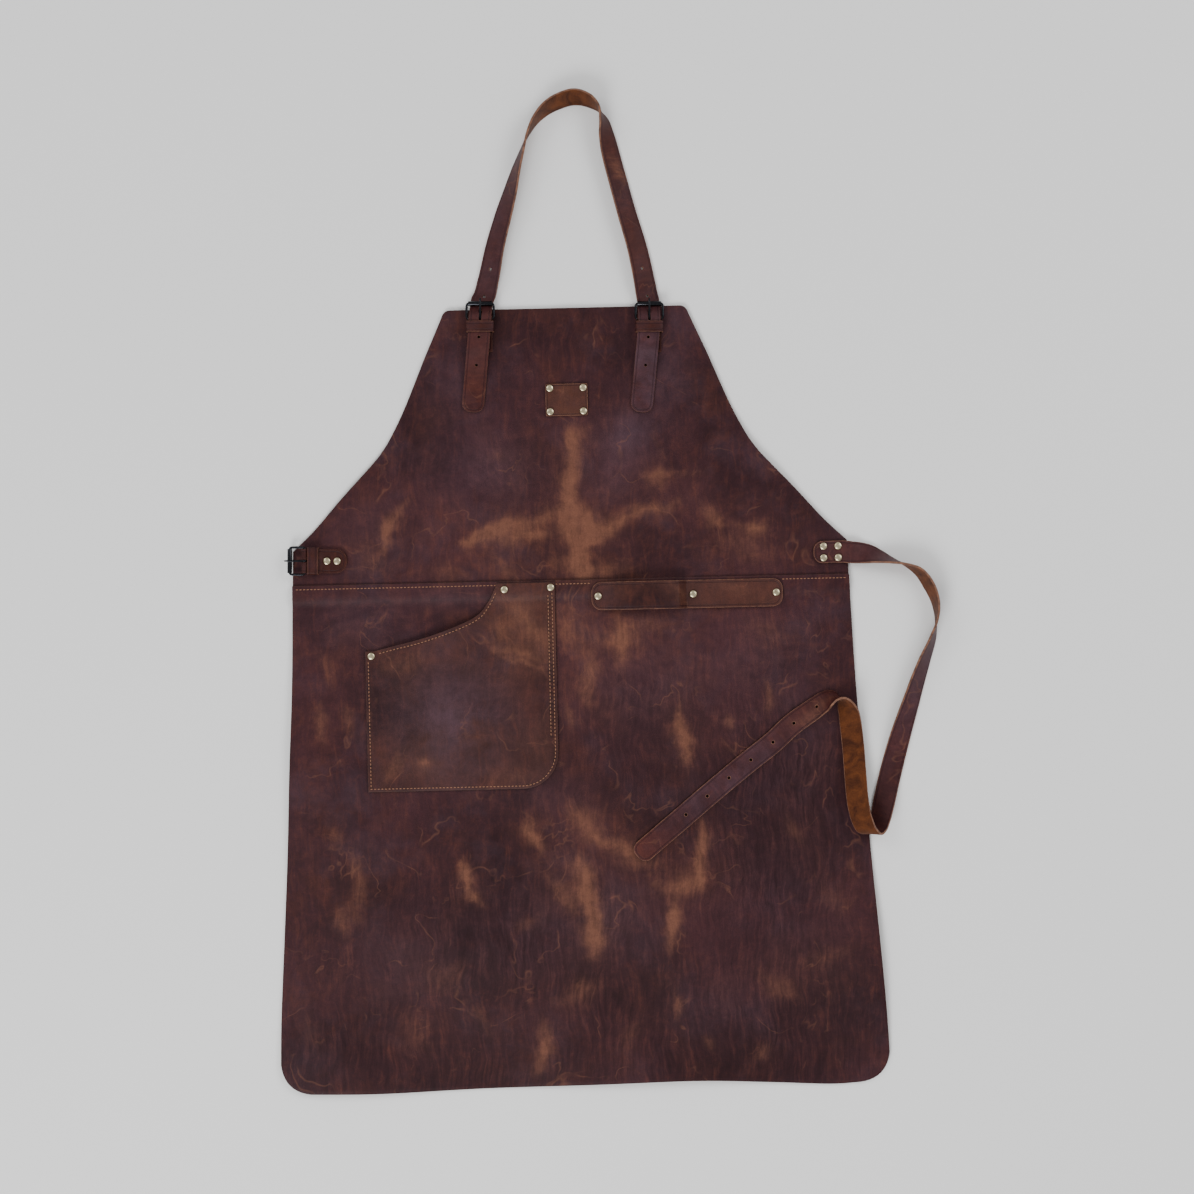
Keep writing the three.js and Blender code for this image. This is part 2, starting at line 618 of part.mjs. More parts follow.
function makePocket() {
  const columns = [
    POCKET_LEFT - 5,
    POCKET_LEFT + POCKET_HEM,
    (POCKET_LEFT + POCKET_RIGHT) / 2,
    POCKET_RIGHT - POCKET_HEM,
    POCKET_RIGHT + 5,
  ];
  const height = POCKET_TOP - POCKET_BOTTOM;
  const rows = [POCKET_BOTTOM - 5, ...POCKET_SWELL.map((row) => POCKET_BOTTOM + row.up * height)];
  const box = { left: POCKET_LEFT, right: POCKET_RIGHT, bottom: POCKET_BOTTOM, top: POCKET_TOP };
  return layer(pocketOutline(), box, pocketUnder, columns, rows).subtract(allHoles);
}

function makeLoop() {
  const bottom = LOOP_MIDDLE - LOOP_WIDTH / 2;
  const r = LOOP_CORNER_RADIUS;
  const outline = roundedRectangle(LOOP_LEFT, bottom, LOOP_LENGTH, LOOP_WIDTH, around(r));
  const columns = LOOP_HUMP.map((row) => LOOP_RIVET_X + row.along * LOOP_SLACK_LENGTH);
  const box = {
    left: LOOP_LEFT,
    right: LOOP_LEFT + LOOP_LENGTH,
    bottom,
    top: bottom + LOOP_WIDTH,
  };
  return layer(outline, box, loopUnder, columns).subtract(allHoles);
}

function makePatch() {
  const outline = roundedRectangle(
    -PATCH_WIDTH / 2,
    PATCH_UP - PATCH_HEIGHT / 2,
    PATCH_WIDTH,
    PATCH_HEIGHT,
    around(1.5),
  );
  const box = {
    left: -PATCH_WIDTH / 2,
    right: PATCH_WIDTH / 2,
    bottom: PATCH_UP - PATCH_HEIGHT / 2,
    top: PATCH_UP + PATCH_HEIGHT / 2,
  };
  return layer(outline, box, (x, y) => bibTop(x, y) + GAP).subtract(allHoles);
}

// A strap's route: the line of its middle, and the direction of its left edge along that line.
function routeOf(rows) {
  const middle = new THREE.CatmullRomCurve3(
    rows.map((row) => row.point),
    false,
    "catmullrom",
    0.5,
  );
  const left = new THREE.CatmullRomCurve3(rows.map((row) => row.left));
  middle.arcLengthDivisions = 60 * (rows.length - 1);
  const length = middle.getLength();
  const stationAt = (distance) => {
    const t = middle.getUtoTmapping(THREE.MathUtils.clamp(distance / length, 0, 1));
    const along = middle.getTangent(t);
    const across = left.getPoint(t);
    across.addScaledVector(along, -across.dot(along)).normalize();
    return { centre: middle.getPoint(t), along, across, up: along.clone().cross(across) };
  };
  const shares = middle.getLengths(60 * (rows.length - 1));
  const rowDistances = rows.map((_, i) => shares[60 * i]);
  return { length, stationAt, rowDistances };
}

const pointing = (turn, lean) =>
  new THREE.Vector3(
    Math.cos(turn * DEG) * Math.cos(lean * DEG),
    Math.sin(turn * DEG) * Math.cos(lean * DEG),
    Math.sin(lean * DEG),
  );

// Half the height of a strap's leaning section: what its middle clears when its low edge rests.
const standing = (lean) =>
  (STRAP_WIDTH / 2) * Math.abs(Math.sin(lean * DEG)) +
  (STRAP_THICK / 2) * Math.abs(Math.cos(lean * DEG));

// A flat bar with stations along it, laid along the route, with rounded or square ends.
function strapAlong(route, spacing, roundStart, roundEnd) {
  const shares = [0, 0.08, 0.25, 0.55, 1];
  const first = roundStart ? TIP_ROUND : 0;
  const last = route.length - (roundEnd ? TIP_ROUND : 0);
  const knots = route.rowDistances.filter((at) => at > first + 1 && at < last - 1);
  const bounds = [first, ...knots, last];
  const inner = bounds.slice(1).flatMap((end, i) => {
    const cells = Math.max(1, Math.round((end - bounds[i]) / spacing));
    return evenly(bounds[i], end, cells).slice(0, -1);
  });
  inner.push(last);
  const distances = [
    ...(roundStart ? shares.slice(0, -1).map((share) => share * TIP_ROUND) : []),
    ...inner,
    ...(roundEnd
      ? shares
          .slice(0, -1)
          .reverse()
          .map((share) => route.length - share * TIP_ROUND)
      : []),
  ];
  const stations = distances.length - 1;
  const bar = new THREE.BoxGeometry(1, 1, 1, stations, 1, 1);
  const position = bar.attributes.position;
  const roundedHalf = (gap) => {
    const share = THREE.MathUtils.clamp(gap / TIP_ROUND, 0, 1);
    const corner = Math.sqrt(1 - (1 - share) ** 2);
    return STRAP_WIDTH / 2 - TIP_ROUND * (1 - corner);
  };
  for (let i = 0; i < position.count; i++) {
    const distance = distances[Math.round((position.getX(i) + 0.5) * stations)];
    const { centre, across, up } = route.stationAt(distance);
    const startHalf = roundStart ? roundedHalf(distance) : STRAP_WIDTH / 2;
    const endHalf = roundEnd ? roundedHalf(route.length - distance) : STRAP_WIDTH / 2;
    const half = Math.min(startHalf, endHalf);
    const point = centre
      .clone()
      .addScaledVector(across, position.getY(i) * 2 * half)
      .addScaledVector(up, position.getZ(i) * STRAP_THICK);
    position.setXYZ(i, point.x, point.y, point.z);
  }
  return solidOf(bar);
}

// Round holes punched square through a strap, at these distances along its route.
function punched(strap, route, distances) {
  return distances.reduce((left, distance) => {
    const { centre, along, across, up } = route.stationAt(distance);
    const tool = new THREE.CylinderGeometry(STRAP_HOLE_RADIUS, STRAP_HOLE_RADIUS, 4 * STRAP_THICK, 8);
    tool.applyMatrix4(new THREE.Matrix4().makeBasis(across, up, along).setPosition(centre));
    return left.subtract(solidOf(tool));
  }, strap);
}

const floorTop = () => 0;
const grounds = { floor: floorTop, bib: bibTop, skirt: skirtTop };

function waistRoute() {
  return routeOf(
    WAIST_ROUTE.map(({ out, down, turn, lean, on, lift = 0 }) => {
      const x = WAIST_ROOT_X + out * WAIST_OUT;
      const y = WAIST_ROOT_Y - down * WAIST_DROP;
      const clear = on === "floor" ? 0 : 2 * GAP;
      const z = grounds[on](x, y) + clear + standing(lean) + lift * STRAP_WIDTH;
      return { point: new THREE.Vector3(x, y, z), left: pointing(turn, lean) };
    }),
  );
}

// Heights of the middle of a neck strap's end above the bib.
const endHeights = {
  keeper: BAR_LIFT + EYE_RADIUS + GAP + STRAP_THICK / 2,
  tab: TAB_OVER_KEEPER + TAB_TOTAL + 2 * GAP + STRAP_THICK / 2,
  bib: STRAP_THICK / 2 + 2 * GAP,
};

// Where the strap bears on the buckle: over the tab's eye, and under the roller. turned is the
// angle round the bar from its top, or from its underside.
const BEARINGS = [
  { bar: "heel", turned: 0 },
  { bar: "heel", turned: 18 },
  { bar: "heel", turned: 34 },
  { bar: "roller", turned: 34 },
  { bar: "roller", turned: 15 },
  { bar: "roller", turned: -12 },
];
const BEARING_SLACK = 0.2;
function bearingPoint({ bar, turned }) {
  const heel = bar === "heel";
  const bare = heel ? EYE_RADIUS : ROLLER_RADIUS;
  const reach = bare + GAP + STRAP_THICK / 2 + BEARING_SLACK;
  const along = reach * Math.sin(turned * DEG);
  const up = reach * Math.cos(turned * DEG);
  return heel ? [along, BAR_LIFT + up] : [BUCKLE_SPAN - along, BAR_LIFT - up];
}

function neckEnd(place, bearing, strapAside) {
  const rowAt = (along, aside, height) => {
    const [x, y] = place.at(along, aside);
    const [barX, barY] = place.at(0, 0);
    const z = bibTop(barX, Math.min(barY, BIB_HEIGHT)) + height;
    return { point: new THREE.Vector3(x, y, z), left: pointing(bearing, 0) };
  };
  const past = NECK_END.map((row) =>
    rowAt(-row.back * NECK_END_LENGTH, -row.aside * STRAP_WIDTH, endHeights[row.over]),
  );
  const through = BEARINGS.map((bearingRow) => {
    const [along, up] = bearingPoint(bearingRow);
    return rowAt(along, (along / BUCKLE_SPAN) * strapAside * STRAP_WIDTH, up);
  });
  return [...past.reverse(), ...through];
}

function neckRoute() {
  const [leftPlace, rightPlace] = neckPlaces;
  const loop = NECK_ROUTE.map(({ across, up, turn, lean }) => ({
    point: new THREE.Vector3(across * NECK_HALF, BIB_HEIGHT + up * NECK_RISE, standing(lean) + GAP),
    left: pointing(turn, lean),
  }));
  const [left, right] = NECK_BUCKLES;
  return routeOf([
    ...neckEnd(leftPlace, 178, left.strapAside),
    ...loop,
    ...neckEnd(rightPlace, 0, right.strapAside).reverse(),
  ]);
}

// A solid drawn from the side, in the plane of the strap's length, and centred across it.
function fromSide(shape, width, segments = 5) {
  const geometry = new THREE.ExtrudeGeometry(shape, {
    depth: width,
    bevelEnabled: false,
    curveSegments: segments,
  });
  return solidOf(geometry.translate(0, 0, -width / 2).rotateX(Math.PI / 2));
}

// The folded tab: two layers on the panel, up over the keeper, and an eye round the heel bar.
function makeTab(length, roundEnd, rivetDistances) {
  const flat = GAP;
  const keeperEnd = KEEPER_START + KEEPER_LENGTH;
  const neck = KEEPER_START - 0.4;
  const shape = new THREE.Shape();
  shape.moveTo(-length, flat);
  shape.lineTo(-keeperEnd - 5, flat);
  shape.lineTo(-keeperEnd - 0.5, TAB_OVER_KEEPER);
  shape.lineTo(-neck, TAB_OVER_KEEPER);
  shape.absarc(0, BAR_LIFT, EYE_RADIUS, 1.25 * Math.PI, 2.82 * Math.PI, false);
  shape.lineTo(-neck - 0.8, TAB_OVER_KEEPER + TAB_TOTAL);
  shape.lineTo(-keeperEnd - 0.6, TAB_OVER_KEEPER + TAB_TOTAL);
  shape.lineTo(-keeperEnd - 4.3, flat + TAB_TOTAL);
  shape.lineTo(-length, flat + TAB_TOTAL);
  shape.closePath();
  const eye = new THREE.Path();
  eye.absarc(0, BAR_LIFT, BAR_RADIUS + GAP, 0, 2 * Math.PI, true);
  shape.holes.push(eye);
  let tab = fromSide(shape, TAB_WIDTH);
  const slotLength = 2 * EYE_RADIUS + 1;
  const slot = new THREE.BoxGeometry(slotLength, PRONG_WIDTH + 2 * GAP, TALL);
  tab = tab.subtract(solidOf(slot.translate(slotLength / 2 - EYE_RADIUS - 0.1, 0, 0)));
  if (roundEnd) {
    const outline = roundedRectangle(-length, -TAB_WIDTH / 2, length + 20, TAB_WIDTH, [
      1,
      1,
      SIDE_TAB_ROUND,
      SIDE_TAB_ROUND,
    ]);
    tab = tab.intersect(upright(outline));
  }
  return tab.subtract(postHoles(rivetDistances.map((distance) => [-distance, 0])));
}

// The keeper: a closed band round the tab, with room for a strap where one passes.
function makeKeeper(room) {
  const innerWidth = TAB_WIDTH + 2 * GAP;
  const width = innerWidth + 2 * KEEPER_THICK;
  const low = GAP;
  const inside = GAP + KEEPER_THICK;
  const shape = roundedRectangle(-width / 2, low, width, room + 2 * KEEPER_THICK, around(1.5));
  const hollow = roundedRectangle(-innerWidth / 2, inside, innerWidth, room, around(0.4));
  shape.holes.push(new THREE.Path(hollow.getPoints(3).reverse()));
  const geometry = new THREE.ExtrudeGeometry(shape, {
    depth: KEEPER_LENGTH,
    bevelEnabled: false,
    curveSegments: 3,
  });
  geometry.applyMatrix4(
    new THREE.Matrix4().makeBasis(
      new THREE.Vector3(0, 1, 0),
      new THREE.Vector3(0, 0, 1),
      new THREE.Vector3(1, 0, 0),
    ),
  );
  return solidOf(geometry.translate(-KEEPER_START - KEEPER_LENGTH, 0, 0));
}

// The frame: a rounded rectangle of wire with a thick roller bar at its front.
function makeBuckle() {
  const low = -BAR_RADIUS;
  const length = BUCKLE_SPAN + 2 * BAR_RADIUS;
  const half = BUCKLE_WIDTH / 2;
  const frame = roundedRectangle(low, -half, length, BUCKLE_WIDTH, [4, 4, 2, 2]);
  const inner = roundedRectangle(
    low + BUCKLE_WIRE,
    -half + BUCKLE_WIRE,
    length - 2 * BUCKLE_WIRE,
    BUCKLE_WIDTH - 2 * BUCKLE_WIRE,
    around(0.8),
  );
  frame.holes.push(new THREE.Path(inner.getPoints(2).reverse()));
  const geometry = new THREE.ExtrudeGeometry(frame, {
    depth: BUCKLE_WIRE,
    bevelEnabled: false,
    curveSegments: 3,
  });
  const wire = solidOf(geometry.translate(0, 0, BAR_LIFT - BAR_RADIUS));
  const rollerLength = BUCKLE_WIDTH - 2 * BUCKLE_WIRE;
  const roller = new THREE.CylinderGeometry(ROLLER_RADIUS, ROLLER_RADIUS, rollerLength, 12);
  return wire
    .subtract(heelBarTrim())
    .add(solidOf(roller.translate(BUCKLE_SPAN, 0, BAR_LIFT)))
    .add(heelBar());
}

// The heel bar is round where the tab's eye and the prong turn on it.
const HEEL_BAR_LENGTH = BUCKLE_WIDTH - BUCKLE_WIRE;
function heelBar() {
  const bar = new THREE.CylinderGeometry(BAR_RADIUS, BAR_RADIUS, HEEL_BAR_LENGTH, 10);
  return solidOf(bar.translate(0, 0, BAR_LIFT));
}
function heelBarTrim() {
  const room = BUCKLE_WIDTH - 2 * BUCKLE_WIRE;
  const box = new THREE.BoxGeometry(2 * BUCKLE_WIRE, room, 2 * BUCKLE_WIRE);
  return solidOf(box.translate(0, 0, BAR_LIFT));
}

// The prong: an eye on the heel bar and an arm that lies over the roller bar.
function makeProng() {
  const outer = BAR_RADIUS + GAP + 1;
  const rest = BAR_LIFT + ROLLER_RADIUS + GAP / 2;
  const tip = BUCKLE_SPAN + PRONG_OVERHANG;
  const shape = new THREE.Shape();
  shape.moveTo(outer * Math.cos(0.2), BAR_LIFT + outer * Math.sin(0.2));
  shape.lineTo(BUCKLE_SPAN - 4.5, rest - 0.9);
  shape.lineTo(BUCKLE_SPAN, rest);
  shape.lineTo(tip, rest - 1.1);
  shape.lineTo(tip + 0.3, rest - 0.3);
  shape.lineTo(BUCKLE_SPAN, rest + PRONG_THICK);
  shape.lineTo(BUCKLE_SPAN - 5, rest + PRONG_THICK - 0.5);
  shape.lineTo(outer * Math.cos(1.75), BAR_LIFT + outer * Math.sin(1.75));
  shape.absarc(0, BAR_LIFT, outer, 1.75, 0.2 + 2 * Math.PI, false);
  shape.closePath();
  const eye = new THREE.Path();
  eye.absarc(0, BAR_LIFT, BAR_RADIUS + GAP / 2, 0, 2 * Math.PI, true);
  shape.holes.push(eye);
  return fromSide(shape, PRONG_WIDTH);
}

// A cap rivet: back cap under the leather, post through it, domed cap on top.
function makeRivet(through, capHeight) {
  const top = through + GAP;
  const profile = [
    [0, -REST],
    [BACK_RADIUS, -REST],
    [BACK_RADIUS, -GAP],
    [POST_RADIUS, -GAP],
    [POST_RADIUS, top],
    [CAP_RADIUS, top],
    [CAP_RADIUS * 0.9, top + capHeight * 0.45],
    [CAP_RADIUS * 0.55, top + capHeight * 0.85],
    [0, top + capHeight],
  ].map(([r, z]) => vec(r, z));
  return solidOf(new THREE.LatheGeometry(profile, 10).rotateX(Math.PI / 2));
}

function rivetMesh(name, x, y, through, capHeight = CAP_HEIGHT) {
  const mesh = meshOf(makeRivet(through, capHeight), name, RIVET_METAL);
  mesh.position.set(x, y, lie(x, y));
  return mesh;
}

// One buckle with its tab and keeper, in a group that stands on the bib at the heel bar.
function buckleSet(name, place, tabLength, roundEnd, rivetDistances, keeperRoom) {
  const group = new THREE.Group();
  group.position.set(place.x, place.y, bibTop(place.x, place.y));
  group.rotation.z = place.angle;
  group.add(meshOf(makeTab(tabLength, roundEnd, rivetDistances), `${name}tab${place.side}`, TAB_LEATHER));
  group.add(meshOf(makeKeeper(keeperRoom), `${name}keeper${place.side}`, TAB_LEATHER));
  group.add(meshOf(makeBuckle(), `${name}buckle${place.side}`, BUCKLE_METAL));
  group.add(meshOf(makeProng(), `${name}prong${place.side}`, BUCKLE_METAL));
  return group;
}

// The slots that the neck prongs pass in the strap.
function prongSlots() {
  const length = 0.7 * BUCKLE_SPAN;
  return neckPlaces
    .map((place) => {
      const slot = new THREE.BoxGeometry(length, PRONG_WIDTH + 2 * GAP, TALL);
      slot.translate(length / 2 - 2, 0, 0).rotateZ(place.angle);
      return solidOf(slot.translate(place.x, place.y, 0));
    })
    .reduce((all, one) => all.add(one));
}

function makeNeckStrap() {
  const route = neckRoute();
  const first = NECK_END_LENGTH - KEEPER_START - KEEPER_LENGTH - 4;
  const beyond = NECK_END_LENGTH + BUCKLE_SPAN + 12;
  const fromTip = [first, first - STRAP_HOLE_PITCH, beyond, beyond + STRAP_HOLE_PITCH];
  const distances = [...fromTip, ...fromTip.map((distance) => route.length - distance)];
  return punched(strapAlong(route, 11, true, true), route, distances).subtract(prongSlots());
}

function makeWaistStrap() {
  const route = waistRoute();
  const holes = evenly(0, 7, 7).map((i) => route.length - 64 - i * STRAP_HOLE_PITCH);
  return punched(strapAlong(route, 9, true, true), route, holes).subtract(allHoles);
}

const apron = new THREE.Group();
apron.add(meshOf(makeBib(), "bib_panel", PANEL_LEATHER));
apron.add(meshOf(makeSkirt(), "skirt_panel", PANEL_LEATHER));
apron.add(meshOf(makePocket(), "pocket", POCKET_LEATHER));
apron.add(meshOf(makeLoop(), "tool_loop", TAB_LEATHER));
apron.add(meshOf(makePatch(), "label_patch", PATCH_LEATHER));
apron.add(meshOf(makeNeckStrap(), "neck_strap", STRAP_LEATHER));
apron.add(meshOf(makeWaistStrap(), "waist_strap", STRAP_LEATHER));

const neckRoom = endHeights.keeper + STRAP_THICK / 2 + 2 * GAP - KEEPER_THICK;
NECK_BUCKLES.forEach((buckle, i) => {
  const place = { ...neckPlaces[i], side: `_${buckle.side}` };
  apron.add(buckleSet("neck_", place, NECK_TAB_LENGTH, false, [NECK_RIVET_BACK], neckRoom));
  const [x, y] = place.at(-NECK_RIVET_BACK, 0);
  const through = PANEL_THICK + GAP + TAB_TOTAL;
  apron.add(rivetMesh(`neck_rivet_${buckle.side}`, x, y, through, HIDDEN_CAP_HEIGHT));
});

const sideRivets = [0, 1].map((i) => SIDE_RIVET_FIRST + i * SIDE_RIVET_PITCH);
const sideRoom = TAB_OVER_KEEPER + TAB_TOTAL - KEEPER_THICK + STRAP_THICK + GAP;
apron.add(
  buckleSet("side_", { ...sidePlace, side: "" }, SIDE_TAB_LENGTH, true, sideRivets, sideRoom),
);
sideRivets.forEach((distance, i) => {
  const [x, y] = sidePlace.at(-distance, 0);
  apron.add(rivetMesh(`side_rivet_${i + 1}`, x, y, PANEL_THICK + GAP + TAB_TOTAL));
});

const counted = {};
for (const { group, x, y, through } of RIVETS) {
  counted[group] = (counted[group] ?? 0) + 1;
  apron.add(rivetMesh(`${group}_rivet_${counted[group]}`, x, y, through));
}

// The part's origin is the middle of its extent, on the surface that it lies on.
const extent = new THREE.Box3().setFromObject(apron);
const middle = extent.getCenter(new THREE.Vector3());
apron.position.set(-middle.x, -middle.y, -extent.min.z);

export default apron;
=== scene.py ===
"""Looks of the leather work apron: every leather piece cut flat and laid on the frame, its
fittings, its thread, and the studio that it lies in."""

import math

import bmesh
import bpy
import numpy as np
from mathutils import Matrix, Vector, noise
from mathutils.geometry import delaunay_2d_cdt


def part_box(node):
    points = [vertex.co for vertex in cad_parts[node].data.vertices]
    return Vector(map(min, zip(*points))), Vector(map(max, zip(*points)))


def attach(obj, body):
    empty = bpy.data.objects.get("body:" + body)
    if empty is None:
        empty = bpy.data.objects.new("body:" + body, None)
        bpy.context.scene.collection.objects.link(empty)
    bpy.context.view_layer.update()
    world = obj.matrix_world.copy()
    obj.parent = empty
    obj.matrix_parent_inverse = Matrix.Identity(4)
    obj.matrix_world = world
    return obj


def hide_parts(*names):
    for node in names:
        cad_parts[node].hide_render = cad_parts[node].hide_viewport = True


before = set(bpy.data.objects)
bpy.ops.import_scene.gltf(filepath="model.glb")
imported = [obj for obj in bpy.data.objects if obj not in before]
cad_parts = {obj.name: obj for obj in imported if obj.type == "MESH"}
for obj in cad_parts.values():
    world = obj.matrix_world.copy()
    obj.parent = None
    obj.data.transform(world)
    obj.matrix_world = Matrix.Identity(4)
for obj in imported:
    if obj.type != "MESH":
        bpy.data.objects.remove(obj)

bl_info = {
    "name": "Leather Apron Dresser",
    "version": (1, 0, 0),
    "blender": (4, 5, 0),
    "location": "3D View > Sidebar > Apron",
    "description": "Cuts, lays and finishes the leather pieces of a work apron",
    "category": "Object",
}

MM = 0.001
DEG = math.pi / 180
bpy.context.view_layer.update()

# The apron's own axes: X across from the patch's middle, Y up from the waist seam.
PATCH_UP = 184.0
PATCH_WIDTH = 42.0
PATCH_HEIGHT = 32.0
patch_low, patch_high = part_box("label_patch")
rivet_low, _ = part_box("patch_rivet_1")
ORIGIN = Vector(
    (
        (patch_low[0] + patch_high[0]) / 2,
        (patch_low[1] + patch_high[1]) / 2 - PATCH_UP * MM,
        rivet_low[2],
    )
)

# Sizes shared with the frame, in millimetres.
PANEL_THICK = 2.0
BIB_HEIGHT = 276.0
BIB_TOP_HALF = 123.0
BIB_CORNER_RADIUS = 8.0
WAIST_HALF = 277.0
WAIST_CORNER_UP = 38.0
SEAM_HALF = 278.5
SKIRT_LENGTH = 500.0
HEM_HALF = 304.5
HEM_DRIFT = 4.0
HEM_CORNER_RADIUS = 30.0
HEM_WAVE = 6.0
LAP_OVER = 4.0
LAP_UNDER = 9.0
JOGGLE = 8.0
POCKET_LEFT = -207.0
POCKET_RIGHT = -16.0
POCKET_BOTTOM = -204.0
POCKET_CORNER_RADIUS = 36.0
POCKET_MOUTH_LOW = -63.0
POCKET_MOUTH_WIDE = 133.0
POCKET_TOP = 2.0
POCKET_HEM = 12.0
POCKET_BULGE = 8.0
LOOP_LEFT = 20.5
LOOP_LENGTH = 191.0
LOOP_WIDTH = 28.0
LOOP_MIDDLE = -13.0
LOOP_CORNER_RADIUS = 10.0
LOOP_RISE = 11.0
LOOP_RIVET_INSET = 6.5
LOOP_SLACK_LENGTH = 95.0
STRAP_WIDTH = 22.0
STRAP_THICK = 2.2
STRAP_HOLE_RADIUS = 1.5
STRAP_HOLE_PITCH = 28.3
TIP_ROUND = 9.0
NECK_HALF = 84.4
NECK_RISE = 210.0
NECK_END_LENGTH = 93.0
WAIST_OUT = 122.0
WAIST_DROP = 281.0
WAIST_ROOT_X = 243.4
WAIST_ROOT_Y = 26.0
BUCKLE_WIDTH = 29.5
BUCKLE_WIRE = 2.4
BUCKLE_SPAN = 15.0
ROLLER_RADIUS = 2.4
PRONG_WIDTH = 2.2
TAB_THICK = 1.6
NECK_TAB_LENGTH = 33.0
SIDE_TAB_LENGTH = 41.5
SIDE_TAB_ROUND = 11.0
KEEPER_THICK = 1.4
KEEPER_LENGTH = 10.6
NECK_RIVET_BACK = 23.0
SIDE_RIVET_FIRST = 21.9
SIDE_RIVET_PITCH = 10.2
CAP_RADIUS = 3.75
CAP_HEIGHT = 2.0
BACK_RADIUS = 3.5
BACK_HEIGHT = 1.0
POST_RADIUS = 1.4
GAP = 0.3
SWELL_RISE = 6.0
REST = BACK_HEIGHT + GAP
LEVEL_REACH = 66.0
FADE_REACH = 60.0
BAR_LIFT = 3 * GAP + STRAP_THICK + ROLLER_RADIUS
TAB_TOTAL = 2 * TAB_THICK
TAB_WIDTH = BUCKLE_WIDTH - 2 * BUCKLE_WIRE - 2 * GAP
BAR_RADIUS = BUCKLE_WIRE / 2
EYE_RADIUS = BAR_RADIUS + GAP + TAB_THICK
TAB_OVER_KEEPER = 2 * GAP + KEEPER_THICK
KEEPER_START = EYE_RADIUS - 0.2

# Shares of the way out and of the way down from the bib's top corner.
ARMHOLE = [
    (0.12, 0.2), (0.25, 0.4), (0.35, 0.53), (0.42, 0.6), (0.5, 0.66), (0.675, 0.78),
    (0.85, 0.907), (1.0, 1.0),
]
# Share of the skirt's length, and of its spread from the seam to the hem.
SKIRT_SIDE = [(0.05, 0.03), (0.21, 0.14), (0.37, 0.33), (0.53, 0.5), (0.69, 0.71), (0.85, 0.92)]
# Share of the hem's half width, and of its wave downwards.
HEM = [(-0.65, 0.95), (-0.33, 0.5), (0.0, 0.25), (0.35, -0.1), (0.6, 0.45), (0.8, 1.0)]
# Where the leather lifts: middle across and along, spread across and along, and share of rise.
SWELLS = [
    (-0.72, 0.2, 0.2, 0.14, 0.8), (0.68, 0.24, 0.18, 0.12, 0.7), (-0.4, 0.54, 0.14, 0.1, 0.5),
    (0.02, 0.55, 0.16, 0.12, 0.45), (-0.92, -0.3, 0.18, 0.2, 0.9), (0.96, -0.08, 0.14, 0.12, 0.5),
    (1.0, -0.76, 0.22, 0.16, 1.1), (-0.78, -1.0, 0.26, 0.14, 0.9), (0.25, -1.02, 0.34, 0.14, 1.2),
    (-0.35, -0.72, 0.22, 0.12, 0.6), (0.4, -0.78, 0.2, 0.12, 0.5),
]
# Shares of the pocket mouth's width and height, from its left side to the seam.
POCKET_MOUTH = [
    (0.07, 0.0), (0.19, 0.06), (0.42, 0.17), (0.66, 0.33), (0.84, 0.5), (0.92, 0.68),
    (0.97, 0.86), (1.0, 1.0),
]
# Share of the way up the pocket, and of its bulge.
POCKET_SWELL = [(0.0, 0.0), (0.06, 0.0), (0.4, 0.65), (0.63, 1.0), (0.78, 0.8), (0.9, 0.0)]
# Share of the way between the loop's first two rivets, and of its rise.
LOOP_HUMP = [
    (0.06, 0.0), (0.14, 0.2), (0.27, 0.55), (0.45, 0.85), (0.65, 1.0), (0.84, 0.95), (0.93, 0.0),
]
# The neck strap above the bib: across, up, and its left edge's bearing and rise in degrees.
NECK_ROUTE = [
    (-0.946, 0.065, 171, -7), (-0.893, 0.14, 168, -20), (-0.808, 0.292, 166, -33),
    (-0.698, 0.444, 164, -42), (-0.609, 0.557, 163, -54), (-0.526, 0.671, 163, -69),
    (-0.462, 0.746, 161, -79), (-0.395, 0.822, 157, -90), (-0.27, 0.905, 140, -104),
    (-0.15, 0.95, 128, -115), (-0.01, 0.98, 112, -122), (0.18, 0.998, 90, -124),
    (0.345, 0.978, 62, -113), (0.449, 0.943, 38, -95), (0.51, 0.89, 17, -70),
    (0.543, 0.813, 10, -50), (0.58, 0.737, 12, -39), (0.672, 0.584, 14, -36),
    (0.77, 0.43, 15, -34), (0.874, 0.277, 13, -29), (0.949, 0.124, 10, -22),
    (0.978, 0.055, 5, -12),
]
# A neck strap's end: share of its length back from the bar, share of its width aside.
NECK_END = [
    (0.08, -0.02, "keeper"), (0.16, -0.04, "keeper"), (0.28, -0.08, "keeper"),
    (0.42, -0.14, "tab"), (0.7, -0.25, "bib"), (1.0, -0.37, "bib"),
]
# Where the neck strap bears on the heel bar's eye and on the roller, in degrees round each.
BEARINGS = [
    ("heel", 0), ("heel", 18), ("heel", 34), ("roller", 34), ("roller", 15), ("roller", -12),
]
BEARING_SLACK = 0.2
# Side, across, heel bar below the bib's top edge, bearing, strap aside under the roller.
NECK_BUCKLES = [("left", -1, 9.4, 88.8, -0.05), ("right", 1, 13.2, 88.8, 0.03)]
SIDE_BUCKLE = (-264.9, 28.6, 178.5)
